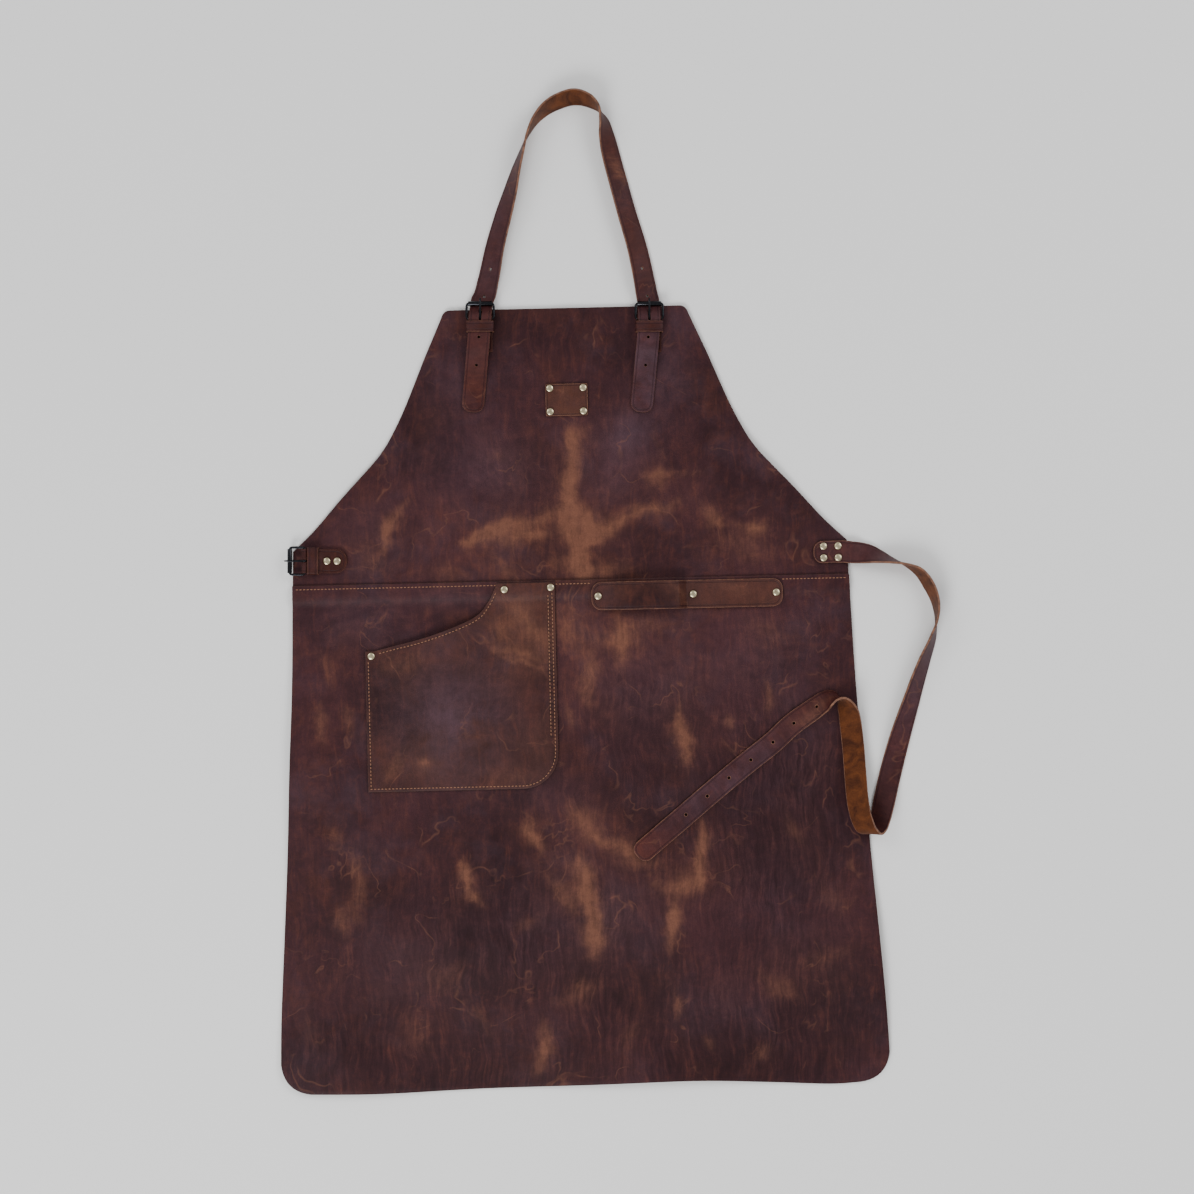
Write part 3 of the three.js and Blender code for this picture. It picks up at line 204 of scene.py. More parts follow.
# The waist strap: out, down, its left edge's bearing and rise, what it lies on, and its lift.
WAIST_ROUTE = [
    (0.0, 0.0, 90, 0, "bib", 0.0), (0.15, 0.0, 90, 0, "bib", 0.0),
    (0.25, 0.0, 90, 0, "bib", 0.0), (0.31, 0.003, 89, -5, "bib", 0.0),
    (0.4, 0.007, 85, -22, "floor", 0.03), (0.51, 0.018, 80, -50, "floor", 0.0),
    (0.65, 0.037, 75, -78, "floor", 0.0), (0.748, 0.051, 70, -92, "floor", 0.0),
    (0.853, 0.077, 50, -107, "floor", 0.0), (0.933, 0.126, 27, -112, "floor", 0.0),
    (0.984, 0.185, 10, -103, "floor", 0.0), (0.992, 0.24, -3, -90, "floor", 0.0),
    (0.957, 0.31, -15, -71, "floor", 0.0), (0.885, 0.391, -18, -56, "floor", 0.0),
    (0.825, 0.463, -18, -46, "floor", 0.0), (0.771, 0.534, -17, -37, "floor", 0.0),
    (0.666, 0.675, -16, -16, "floor", 0.0), (0.577, 0.816, -15, 2, "floor", 0.0),
    (0.534, 0.89, -17, 14, "floor", 0.0), (0.497, 0.95, -17, 27, "floor", 0.0),
    (0.462, 0.986, -10, 34, "floor", 0.18), (0.421, 1.0, -2, 36, "floor", 0.44),
    (0.374, 0.985, 6, 33, "floor", 0.68), (0.335, 0.95, 12, 26, "skirt", 0.63),
    (0.31, 0.895, 8, 17, "skirt", 0.55), (0.298, 0.8, 3, 9, "skirt", 0.26),
    (0.288, 0.7, 3, 6, "skirt", 0.1), (0.272, 0.62, 5, 12, "skirt", 0.04),
    (0.252, 0.565, 14, 34, "skirt", 0.02), (0.226, 0.538, 12, 54, "skirt", 0.02),
    (0.19, 0.521, -12, 65, "skirt", 0.02), (0.148, 0.516, -45, 62, "skirt", 0.02),
    (0.1, 0.52, -56, 50, "skirt", 0.02), (0.04, 0.536, -54, 32, "skirt", 0.03),
    (-0.05, 0.563, -51, 16, "skirt", 0.05), (-0.2, 0.608, -51, 5, "skirt", 0.05),
    (-0.375, 0.675, -51, 0, "skirt", 0.03), (-0.557, 0.735, -51, 0, "skirt", 0.02),
    (-0.922, 0.861, -51, 0, "skirt", 0.02), (-1.1, 0.925, -51, 0, "skirt", 0.03),
    (-1.5, 1.067, -51, 0, "skirt", 0.06),
]

# Pull-up marks on the panels: from X, Y to X, Y, how wide, and how strong, in millimetres.
RUBS = [
    (6, 152, 4, 92, 12, 0.7), (2, 105, 14, 14, 14, 1.0), (20, 158, -2, 140, 10, 0.5),
    (-62, 60, -106, 42, 9, 0.9), (-112, 44, -6, 76, 8, 0.6), (-164, 84, -192, 38, 8, 0.8),
    (-20, 54, -66, 44, 8, 0.7), (52, 62, 12, 44, 9, 0.8), (112, 80, 52, 64, 7, 0.7),
    (82, 110, 97, 94, 10, 0.5), (130, 74, 152, 54, 7, 0.6), (152, 58, 200, 48, 6, 0.4),
    (200, 54, 180, 44, 10, 0.5), (-80, 124, -66, 128, 8, 0.4), (-70, 10, -60, 18, 22, 0.5),
    (74, 110, 138, 104, 5, 0.4), (88, 160, 92, 110, 4, 0.3), (150, 40, 200, 22, 16, 0.4),
    (-220, 40, -190, 20, 18, 0.35), (-20, 20, 60, 10, 10, 0.4), (-150, 20, -100, 8, 10, 0.35),
    (36, -58, 60, -58, 26, 0.9), (18, -76, 18, -122, 8, 0.6), (-6, -122, -4, -146, 7, 0.5),
    (108, -120, 112, -186, 9, 0.95), (190, -96, 194, -136, 6, 0.6), (152, -136, 156, -146, 8, 0.7),
    (-256, -116, -250, -156, 8, 0.6), (-226, -122, -218, -146, 7, 0.5),
    (-180, -166, -192, -206, 8, 0.35), (-156, -178, -142, -176, 7, 0.5),
    (-46, -236, -36, -268, 9, 0.8), (-4, -222, 24, -256, 15, 0.65), (24, -256, 78, -282, 13, 0.7),
    (128, -236, 124, -308, 8, 0.8), (-112, -272, -112, -304, 6, 0.8), (-112, -304, -100, -318, 6, 0.7),
    (-2, -276, 20, -330, 12, 0.85), (20, -330, 14, -372, 11, 0.9), (-26, -296, 0, -328, 9, 0.5),
    (100, -320, 96, -368, 10, 0.9), (124, -296, 88, -306, 12, 0.6), (-222, -272, -216, -332, 8, 0.5),
    (-232, -318, -236, -344, 13, 0.5), (-22, -412, 18, -402, 15, 0.5), (96, -406, 94, -432, 7, 0.6),
    (-36, -438, -42, -488, 8, 0.75), (-102, -422, -92, -444, 10, 0.4), (224, -384, 274, -374, 10, 0.35),
    (184, -394, 214, -418, 14, 0.5), (168, -474, 184, -464, 9, 0.5), (-178, -434, -152, -468, 20, 0.35),
    (124, -462, 134, -458, 9, 0.5), (-250, -240, -236, -262, 8, 0.45), (176, -40, 214, -60, 14, 0.4),
    (-10, -30, 10, -70, 18, 0.5), (56, -40, 100, -44, 10, 0.35), (-250, -60, -240, -100, 10, 0.4),
    (214, -236, 224, -262, 9, 0.5), (250, -300, 262, -340, 12, 0.35), (-150, -400, -120, -380, 16, 0.35),
    (40, -470, 60, -440, 12, 0.4), (-272, -420, -262, -460, 14, 0.3), (-60, -350, -40, -330, 12, 0.4),
]
# Tan scuffs that belong to the pocket alone.
POCKET_RUBS = [
    (-66, -12, -40, -40, 20, 0.6), (-40, -40, -24, -70, 16, 0.5), (-84, -34, -58, -60, 10, 0.4),
    (-180, -168, -192, -200, 8, 0.5), (-157, -176, -143, -174, 7, 0.7), (-80, -60, -30, -76, 4, 0.5),
    (-74, -68, -26, -88, 3, 0.5), (-190, -80, -150, -66, 12, 0.4), (-90, -196, -40, -190, 10, 0.35),
]
# Cool greyish wax bloom on the hide, partly painted sheen of the wax: middle X, Y, reach across and along, and how
# strong.
BLOOMS_AND_SHEEN = [
    (64, 152, 26, 20, 0.8), (-90, 118, 46, 34, 0.6), (44, 118, 30, 26, 0.5), (-100, 200, 40, 30, 0.4),
    (96, 214, 24, 40, 0.5), (-190, 60, 30, 26, 0.3), (-120, -10, 40, 12, 0.4), (-120, -130, 54, 46, 0.9),
    (-214, -30, 44, 26, 0.4), (70, -110, 46, 40, 0.4), (180, -80, 40, 44, 0.35),
    (-60, -350, 60, 40, 0.5), (40, -340, 50, 34, 0.4), (140, -430, 46, 30, 0.4), (-180, -380, 50, 40, 0.3),
    (200, -320, 50, 60, 0.35), (-30, -210, 40, 20, 0.3), (230, -170, 30, 60, 0.3),
]
# Deep dark stretches: middle X, Y, reach across and along, and how strong.
SHADES = [
    (66, -160, 60, 46, 0.6), (210, -260, 70, 60, 0.7), (200, -190, 60, 60, 0.5),
    (-60, -360, 90, 60, 0.5), (-240, -470, 90, 50, 0.7), (120, -490, 120, 40, 0.6),
    (250, -440, 60, 70, 0.6), (-150, -330, 70, 50, 0.4), (-30, 240, 80, 30, 0.4), (-150, 120, 50, 30, 0.4),
    (30, -420, 60, 40, 0.4), (-100, -490, 80, 30, 0.5), (0, -430, 330, 150, 0.4),
    (190, -230, 120, 140, 0.45),
]


# The lie of the leather

def clamp(value, low, high):
    return max(low, min(high, value))


def spline(rows, t, even=True):
    """A point on a smooth curve through the rows; t runs over the rows' places. Where the
    rows lie at uneven distances, its slopes follow them, so that close rows make no loop."""
    last = len(rows) - 1
    i = min(int(t), last - 1)
    w = t - i
    before = rows[i - 1] if i > 0 else rows[0] * 2 - rows[1]
    after = rows[i + 2] if i + 2 <= last else rows[last] * 2 - rows[last - 1]
    a, b = rows[i], rows[i + 1]
    v0, v1 = (b - before) / 2, (after - a) / 2
    if not even:
        spans = [(q - p).length for p, q in ((before, a), (a, b), (b, after))]
        v0 = ((a - before) / spans[0] * spans[1] + (b - a) / spans[1] * spans[0]) / (spans[0] + spans[1])
        v1 = ((b - a) / spans[1] * spans[2] + (after - b) / spans[2] * spans[1]) / (spans[1] + spans[2])
        v0, v1 = v0 * spans[1], v1 * spans[1]
    return (2 * a - 2 * b + v0 + v1) * w**3 + (-3 * a + 3 * b - 2 * v0 - v1) * w**2 + v0 * w + a


def curve_through(points, steps=6):
    rows = [Vector(p) for p in points]
    count = (len(rows) - 1) * steps
    return [spline(rows, i / steps) for i in range(count + 1)]


def read_table(rows, at):
    return float(np.interp(at, [r[0] for r in rows], [r[1] for r in rows]))


def ease(share):
    share = clamp(share, 0, 1)
    return share * share * (3 - 2 * share)


class Place:
    """A buckle's place in the plan: its heel bar's middle and the bearing to its roller."""

    def __init__(self, x, y, degrees):
        self.x, self.y, self.degrees = x, y, degrees
        self.cos = math.cos(degrees * DEG)
        self.sin = math.sin(degrees * DEG)

    def at(self, along, aside):
        return (
            self.x + along * self.cos - aside * self.sin,
            self.y + along * self.sin + aside * self.cos,
        )


neck_places = [
    Place(across * NECK_HALF, BIB_HEIGHT - below, bearing)
    for _, across, below, bearing, _ in NECK_BUCKLES
]
side_place = Place(*SIDE_BUCKLE)
RIVET_NODES = [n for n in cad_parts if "_rivet_" in n]


def rivet_place(node):
    low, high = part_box(node)
    x = ((low[0] + high[0]) / 2 - ORIGIN.x) / MM
    y = ((low[1] + high[1]) / 2 - ORIGIN.y) / MM
    return x, y


RIVET_PLACES = [rivet_place(n) for n in RIVET_NODES]


def lie(x, y):
    """The underside of the lowest leather over the surface, in millimetres."""
    swell = 0.0
    for across, along, wide, tall, rise in SWELLS:
        dx = (x / HEM_HALF - across) / wide
        dy = (y / SKIRT_LENGTH - along) / tall
        swell += rise * SWELL_RISE * math.exp(-dx * dx - dy * dy)
    nearest = min(math.hypot(x - rx, y - ry) for rx, ry in RIVET_PLACES)
    level = clamp(1 - (nearest - LEVEL_REACH) / FADE_REACH, 0, 1)
    return REST * level + max(0.0, swell - 0.3 - 2.2 * level)


def lap_rise(y):
    return ease((y + LAP_UNDER + JOGGLE) / JOGGLE) * (PANEL_THICK + GAP)


def bib_top(x, y):
    return lie(x, y) + PANEL_THICK


def skirt_top(x, y):
    return lie(x, y) + lap_rise(y) + PANEL_THICK


def pocket_top(x, y):
    width = POCKET_RIGHT - POCKET_LEFT - 2 * POCKET_HEM
    across = clamp((x - POCKET_LEFT - POCKET_HEM) / width, 0, 1)
    up = (y - POCKET_BOTTOM) / (POCKET_TOP - POCKET_BOTTOM)
    bulge = math.sin(math.pi * across) * read_table(POCKET_SWELL, up)
    return skirt_top(x, y) + GAP + POCKET_BULGE * bulge + PANEL_THICK


LOOP_RIVET_X = LOOP_LEFT + LOOP_RIVET_INSET


def loop_top(x, y):
    along = (x - LOOP_RIVET_X) / LOOP_SLACK_LENGTH
    hump = LOOP_RISE * read_table(LOOP_HUMP, along)
    return lie(x, y) + 3 * PANEL_THICK + 2 * GAP + hump


def patch_top(x, y):
    return bib_top(x, y) + GAP + PANEL_THICK


def floor_top(x, y):
    return 0.0


GROUNDS = {"floor": floor_top, "bib": bib_top, "skirt": skirt_top}


def on_top(height, lowered=PANEL_THICK / 2):
    """Places a point of a flat cut on the plan, with the leather's middle at this height."""
    return lambda u, v: Vector((u, v, height(u, v) - lowered))


# Straps and their routes

def pointing(turn, lean):
    return Vector(
        (
            math.cos(turn * DEG) * math.cos(lean * DEG),
            math.sin(turn * DEG) * math.cos(lean * DEG),
            math.sin(lean * DEG),
        )
    )


def standing(lean):
    half_wide = STRAP_WIDTH / 2 * abs(math.sin(lean * DEG))
    return half_wide + STRAP_THICK / 2 * abs(math.cos(lean * DEG))


class Route:
    """A strap's middle line with the direction of its left edge."""

    FINE = 40

    def __init__(self, rows):
        self.points = [p for p, _ in rows]
        self.lefts = [q for _, q in rows]
        count = (len(rows) - 1) * self.FINE
        self.ts = [i / self.FINE for i in range(count + 1)]
        fine = [spline(self.points, t, False) for t in self.ts]
        steps = [(b - a).length for a, b in zip(fine, fine[1:])]
        self.distances = np.concatenate([[0.0], np.cumsum(steps)])
        self.length = float(self.distances[-1])
        self.knots = [float(self.distances[i * self.FINE]) for i in range(len(rows))]

    def frame_at(self, distance):
        t = float(np.interp(distance, self.distances, self.ts))
        centre = spline(self.points, t, False)
        step = 0.01
        ahead = spline(self.points, min(t + step, self.ts[-1]), False)
        along = (ahead - spline(self.points, max(t - step, 0), False)).normalized()
        left = spline(self.lefts, t)
        left = (left - along * left.dot(along)).normalized()
        return centre, along, left, along.cross(left)

    def place(self, u, v):
        centre, _, left, up = self.frame_at(u)
        point = centre + left * v
        # The strap's lower edge rests on the floor and never sinks into it.
        point.z = max(point.z, STRAP_THICK / 2 * abs(up.z) + GAP / 2)
        return point


END_HEIGHTS = {
    "keeper": BAR_LIFT + EYE_RADIUS + GAP + STRAP_THICK / 2,
    "tab": TAB_OVER_KEEPER + TAB_TOTAL + 2 * GAP + STRAP_THICK / 2,
    "bib": STRAP_THICK / 2 + 2 * GAP,
}


def bearing_point(bar, turned):
    heel = bar == "heel"
    reach = (EYE_RADIUS if heel else ROLLER_RADIUS) + GAP + STRAP_THICK / 2 + BEARING_SLACK
    along = reach * math.sin(turned * DEG)
    up = reach * math.cos(turned * DEG)
    return (along, BAR_LIFT + up) if heel else (BUCKLE_SPAN - along, BAR_LIFT - up)


def neck_end(place, bearing, strap_aside):
    ground = bib_top(place.x, min(place.y, BIB_HEIGHT))
    left = pointing(bearing, 0)

    def row(along, aside, height):
        x, y = place.at(along, aside)
        return Vector((x, y, ground + height)), left

    past = [
        row(-back * NECK_END_LENGTH, -aside * STRAP_WIDTH, END_HEIGHTS[over])
        for back, aside, over in NECK_END
    ]
    through = []
    for bar, turned in BEARINGS:
        along, up = bearing_point(bar, turned)
        through.append(row(along, along / BUCKLE_SPAN * strap_aside * STRAP_WIDTH, up))
    return past[::-1] + through


def neck_route():
    loop = [
        (Vector((across * NECK_HALF, BIB_HEIGHT + up * NECK_RISE, standing(lean) + GAP)), pointing(turn, lean))
        for across, up, turn, lean in NECK_ROUTE
    ]
    start = neck_end(neck_places[0], 178, NECK_BUCKLES[0][4])
    finish = neck_end(neck_places[1], 0, NECK_BUCKLES[1][4])
    return Route(start + loop + finish[::-1])


def waist_route():
    rows = []
    for out, down, turn, lean, on, lift in WAIST_ROUTE:
        x = WAIST_ROOT_X + out * WAIST_OUT
        y = WAIST_ROOT_Y - down * WAIST_DROP
        clear = 0 if on == "floor" else 2 * GAP
        z = GROUNDS[on](x, y) + clear + standing(lean) + lift * STRAP_WIDTH
        rows.append((Vector((x, y, z)), pointing(turn, lean)))
    return Route(rows)


# Flat cuts

def circle(x, y, radius, count=14):
    turns = [2 * math.pi * i / count for i in range(count)]
    return [(x + radius * math.cos(a), y + radius * math.sin(a)) for a in turns]


def arc(x, y, radius, start, end, count=8):
    turns = [(start + (end - start) * i / count) * DEG for i in range(count + 1)]
    return [(x + radius * math.cos(a), y + radius * math.sin(a)) for a in turns]


def rounded_box(left, bottom, width, height, radii):
    """Corner radii from the lower right, anticlockwise."""
    right, top = left + width, bottom + height
    a, b, c, d = [max(r, 0.3) for r in radii]
    return (
        arc(right - a, bottom + a, a, -90, 0)
        + arc(right - b, top - b, b, 0, 90)
        + arc(left + c, top - c, c, 90, 180)
        + arc(left + d, bottom + d, d, 180, 270)
    )


def quadratic(a, b, c, steps=8):
    shares = [i / steps for i in range(steps + 1)]
    return [
        tuple((1 - s) ** 2 * p + 2 * s * (1 - s) * q + s * s * r for p, q, r in zip(a, b, c))
        for s in shares
    ]


def tidy_loop(points, closest=0.25):
    kept = []
    for p in points:
        p = (float(p[0]), float(p[1]))
        if not kept or math.dist(p, kept[-1]) > closest:
            kept.append(p)
    if math.dist(kept[0], kept[-1]) < closest:
        kept.pop()
    return kept


def divided(loop, longest):
    """The same closed outline with no stretch longer than this."""
    out = []
    for a, b in zip(loop, loop[1:] + loop[:1]):
        parts = max(1, math.ceil(math.dist(a, b) / longest))
        out += [tuple(a[k] + (b[k] - a[k]) * i / parts for k in (0, 1)) for i in range(parts)]
    return out


def bib_outline():
    drop = BIB_HEIGHT - WAIST_CORNER_UP
    r = BIB_CORNER_RADIUS
    side = [
        (BIB_TOP_HALF + out * (WAIST_HALF - BIB_TOP_HALF), BIB_HEIGHT - down * drop)
        for out, down in ARMHOLE
    ]
    right = curve_through([p for p in side[::-1]])
    left = [(-x, y) for x, y in curve_through(side)]
    top_right = quadratic(
        (BIB_TOP_HALF + r * 0.1, BIB_HEIGHT - r), (BIB_TOP_HALF - r * 0.2, BIB_HEIGHT), (BIB_TOP_HALF - r, BIB_HEIGHT)
    )
    top_left = [(-x, y) for x, y in top_right[::-1]]
    low = [(-SEAM_HALF, -LAP_UNDER), (SEAM_HALF, -LAP_UNDER)]
    return low + [tuple(p) for p in right] + top_right + top_left + left


def skirt_outline():
    r = HEM_CORNER_RADIUS
    low = -SKIRT_LENGTH - HEM_WAVE * 0.8
    left, right = HEM_DRIFT - HEM_HALF, HEM_DRIFT + HEM_HALF

    def edge(down, out, sign):
        wide = SEAM_HALF + out * (HEM_HALF - SEAM_HALF)
        return (sign * wide + down * HEM_DRIFT, -down * SKIRT_LENGTH)

    left_side = [(-SEAM_HALF, LAP_OVER)] + [edge(d, o, -1) for d, o in SKIRT_SIDE] + [(left, low + r)]
    right_side = [(right, low + r)] + [edge(d, o, 1) for d, o in SKIRT_SIDE[::-1]] + [(SEAM_HALF, LAP_OVER)]
    hem = [(HEM_DRIFT + a * HEM_HALF, -SKIRT_LENGTH - d * HEM_WAVE) for a, d in HEM]
    hem = [(left + r, low)] + hem + [(right - r, low)]
    left_corner = quadratic((left, low + r), (left + r * 0.1, low + r * 0.1), (left + r, low), 10)
    right_corner = quadratic((right - r, low), (right - r * 0.1, low + r * 0.1), (right, low + r), 10)
    return (
        [tuple(p) for p in curve_through(left_side)]
        + left_corner
        + [tuple(p) for p in curve_through(hem)]
        + right_corner
        + [tuple(p) for p in curve_through(right_side)]
    )


def pocket_mouth():
    rise = POCKET_TOP - POCKET_MOUTH_LOW
    rows = [
        (POCKET_LEFT + across * POCKET_MOUTH_WIDE, POCKET_MOUTH_LOW + up * rise)
        for across, up in POCKET_MOUTH[::-1]
    ]
    return [tuple(p) for p in curve_through(rows)] + [(POCKET_LEFT, POCKET_MOUTH_LOW)]


def pocket_outline():
    r = POCKET_CORNER_RADIUS
    return (
        [(POCKET_LEFT, POCKET_BOTTOM)]
        + arc(POCKET_RIGHT - r, POCKET_BOTTOM + r, r, -90, 0, 16)
        + [(POCKET_RIGHT, POCKET_TOP)]
        + pocket_mouth()
    )


def strap_outline(length):
    return rounded_box(0, -STRAP_WIDTH / 2, length, STRAP_WIDTH, [TIP_ROUND] * 4)


def to_edges(points, loops):
    """How far each point lies from the nearest of the closed outlines."""
    points = np.asarray(points, float)
    best = np.full(len(points), 1e9)
    for loop in loops:
        a = np.asarray(loop, float)
        b = np.roll(a, -1, axis=0)
        for p, q in zip(a, b):
            d = q - p
            t = np.clip(((points - p) @ d) / max(d @ d, 1e-12), 0, 1)
            best = np.minimum(best, np.linalg.norm(points - (p + t[:, None] * d), axis=1))
    return best


def to_lines(points, lines):
    points = np.asarray(points, float)
    best = np.full(len(points), 99.0)
    for line in lines:
        for p, q in zip(line, line[1:]):
            p, d = np.asarray(p, float), np.asarray(q, float) - np.asarray(p, float)
            t = np.clip(((points - p) @ d) / max(d @ d, 1e-12), 0, 1)
            best = np.minimum(best, np.linalg.norm(points - (p + t[:, None] * d), axis=1))
    return best


def inside(points, loop):
    x, y = points[:, 0], points[:, 1]
    within = np.zeros(len(points), bool)
    for (ax, ay), (bx, by) in zip(loop, loop[1:] + loop[:1]):
        if ay == by:
            continue
        crossing = (ay > y) != (by > y)
        within ^= crossing & (x < (bx - ax) * (y - ay) / (by - ay) + ax)
    return within


def cut_flat(outline, holes, spacing):
    """Triangles of a flat cut: its outline, its holes, and a lattice of points inside."""
    outline = divided(tidy_loop(outline), spacing)
    xs = [p[0] for p in outline]
    ys = [p[1] for p in outline]
    rows = np.arange(min(ys) + spacing / 2, max(ys), spacing * 0.866)
    lattice = [
        (x + (spacing / 2 if r % 2 else 0), y)
        for r, y in enumerate(rows)
        for x in np.arange(min(xs) + spacing / 2, max(xs), spacing)
    ]
    lattice = np.array(lattice) if lattice else np.zeros((0, 2))
    keep = inside(lattice, outline) & (to_edges(lattice, [outline] + holes) > spacing * 0.5)
    for hole in holes:
        keep &= ~inside(lattice, hole)
    points = [Vector(p) for p in lattice[keep]]
    edges = []
    for loop in [outline] + holes:
        first = len(points)
        points += [Vector(p) for p in loop]
        edges += [(first + i, first + (i + 1) % len(loop)) for i in range(len(loop))]
    verts, _, faces, *_ = delaunay_2d_cdt(points, edges, [], 1, 1e-5)
    verts = np.array([tuple(v) for v in verts])
    centres = np.array([verts[list(f)].mean(axis=0) for f in faces])
    kept = inside(centres, outline)
    for hole in holes:
        kept &= ~inside(centres, hole)
    faces = [list(f) for f, keep in zip(faces, kept) if keep]
    used = sorted({v for f in faces for v in f})
    numbered = {v: i for i, v in enumerate(used)}
    faces = [[numbered[v] for v in f] for f in faces]
    return [tuple(verts[v]) for v in used], faces, outline


# Materials

def linear(hexa):
    """A linear colour from an sRGB hex value."""
    parts = [int(hexa[i : i + 2], 16) / 255 for i in (0, 2, 4)]
    return (*[c / 12.92 if c <= 0.04045 else ((c + 0.055) / 1.055) ** 2.4 for c in parts], 1.0)


def add_node(tree, kind, settings=None, **links):
    """Adds a node. settings are its properties, links its inputs as values or sockets."""
    node = tree.nodes.new(kind)
    for key, value in (settings or {}).items():
        setattr(node, key, value)
    for key, value in links.items():
        name = key.replace("_", " ")
        socket = node.inputs[int(key[2:])] if key.startswith("in") and key[2:].isdigit() else node.inputs[name]
        if isinstance(value, bpy.types.NodeSocket):
            tree.links.new(value, socket)
        else:
            socket.default_value = value
    return node


def ramp(tree, factor, stops):
    node = add_node(tree, "ShaderNodeValToRGB", in0=factor)
    elements = node.color_ramp.elements
    while len(elements) < len(stops):
        elements.new(0.5)
    for element, (place, colour) in zip(elements, stops):
        element.position = place
        element.color = colour if len(colour) == 4 else (*colour, 1)
    return node.outputs["Color"]


def grey(value):
    return (value, value, value, 1)


def new_material(name):
    material = bpy.data.materials.new(name)
    material.use_nodes = True
    tree = material.node_tree
    tree.nodes.clear()
    output = tree.nodes.new("ShaderNodeOutputMaterial")
    shader = tree.nodes.new("ShaderNodeBsdfPrincipled")
    tree.links.new(shader.outputs["BSDF"], output.inputs["Surface"])
    return material, tree, shader


def mixed(tree, factor, a, b, mode="MIX"):
    node = tree.nodes.new("ShaderNodeMix")
    node.data_type = "RGBA"
    node.blend_type = mode
    for socket, value in ((node.inputs[0], factor), (node.inputs[6], a), (node.inputs[7], b)):
        if isinstance(value, bpy.types.NodeSocket):
            tree.links.new(value, socket)
        else:
            socket.default_value = value
    return node.outputs[2]


def maths(tree, operation, a, b=0.5, clamped=False):
    node = tree.nodes.new("ShaderNodeMath")
    node.operation = operation
    node.use_clamp = clamped
    for socket, value in ((node.inputs[0], a), (node.inputs[1], b)):
        if isinstance(value, bpy.types.NodeSocket):
            tree.links.new(value, socket)
        else:
            socket.default_value = value
    return node.outputs[0]


def seen(tree, name):
    """A field of the cut leather, such as its rubs, as a number between 0 and 1 or in mm."""
    return add_node(tree, "ShaderNodeAttribute", {"attribute_name": name}).outputs["Fac"]


def step_between(tree, value, low, high):
    """Grows from 0 to 1 between low and high, or falls where low is the greater."""
    if low > high:
        return ramp(tree, value, [(high, grey(1)), (low, grey(0))])
    return ramp(tree, value, [(low, grey(0)), (high, grey(1))])


def scaled(tree, a, share):
    return maths(tree, "MULTIPLY", a, share)


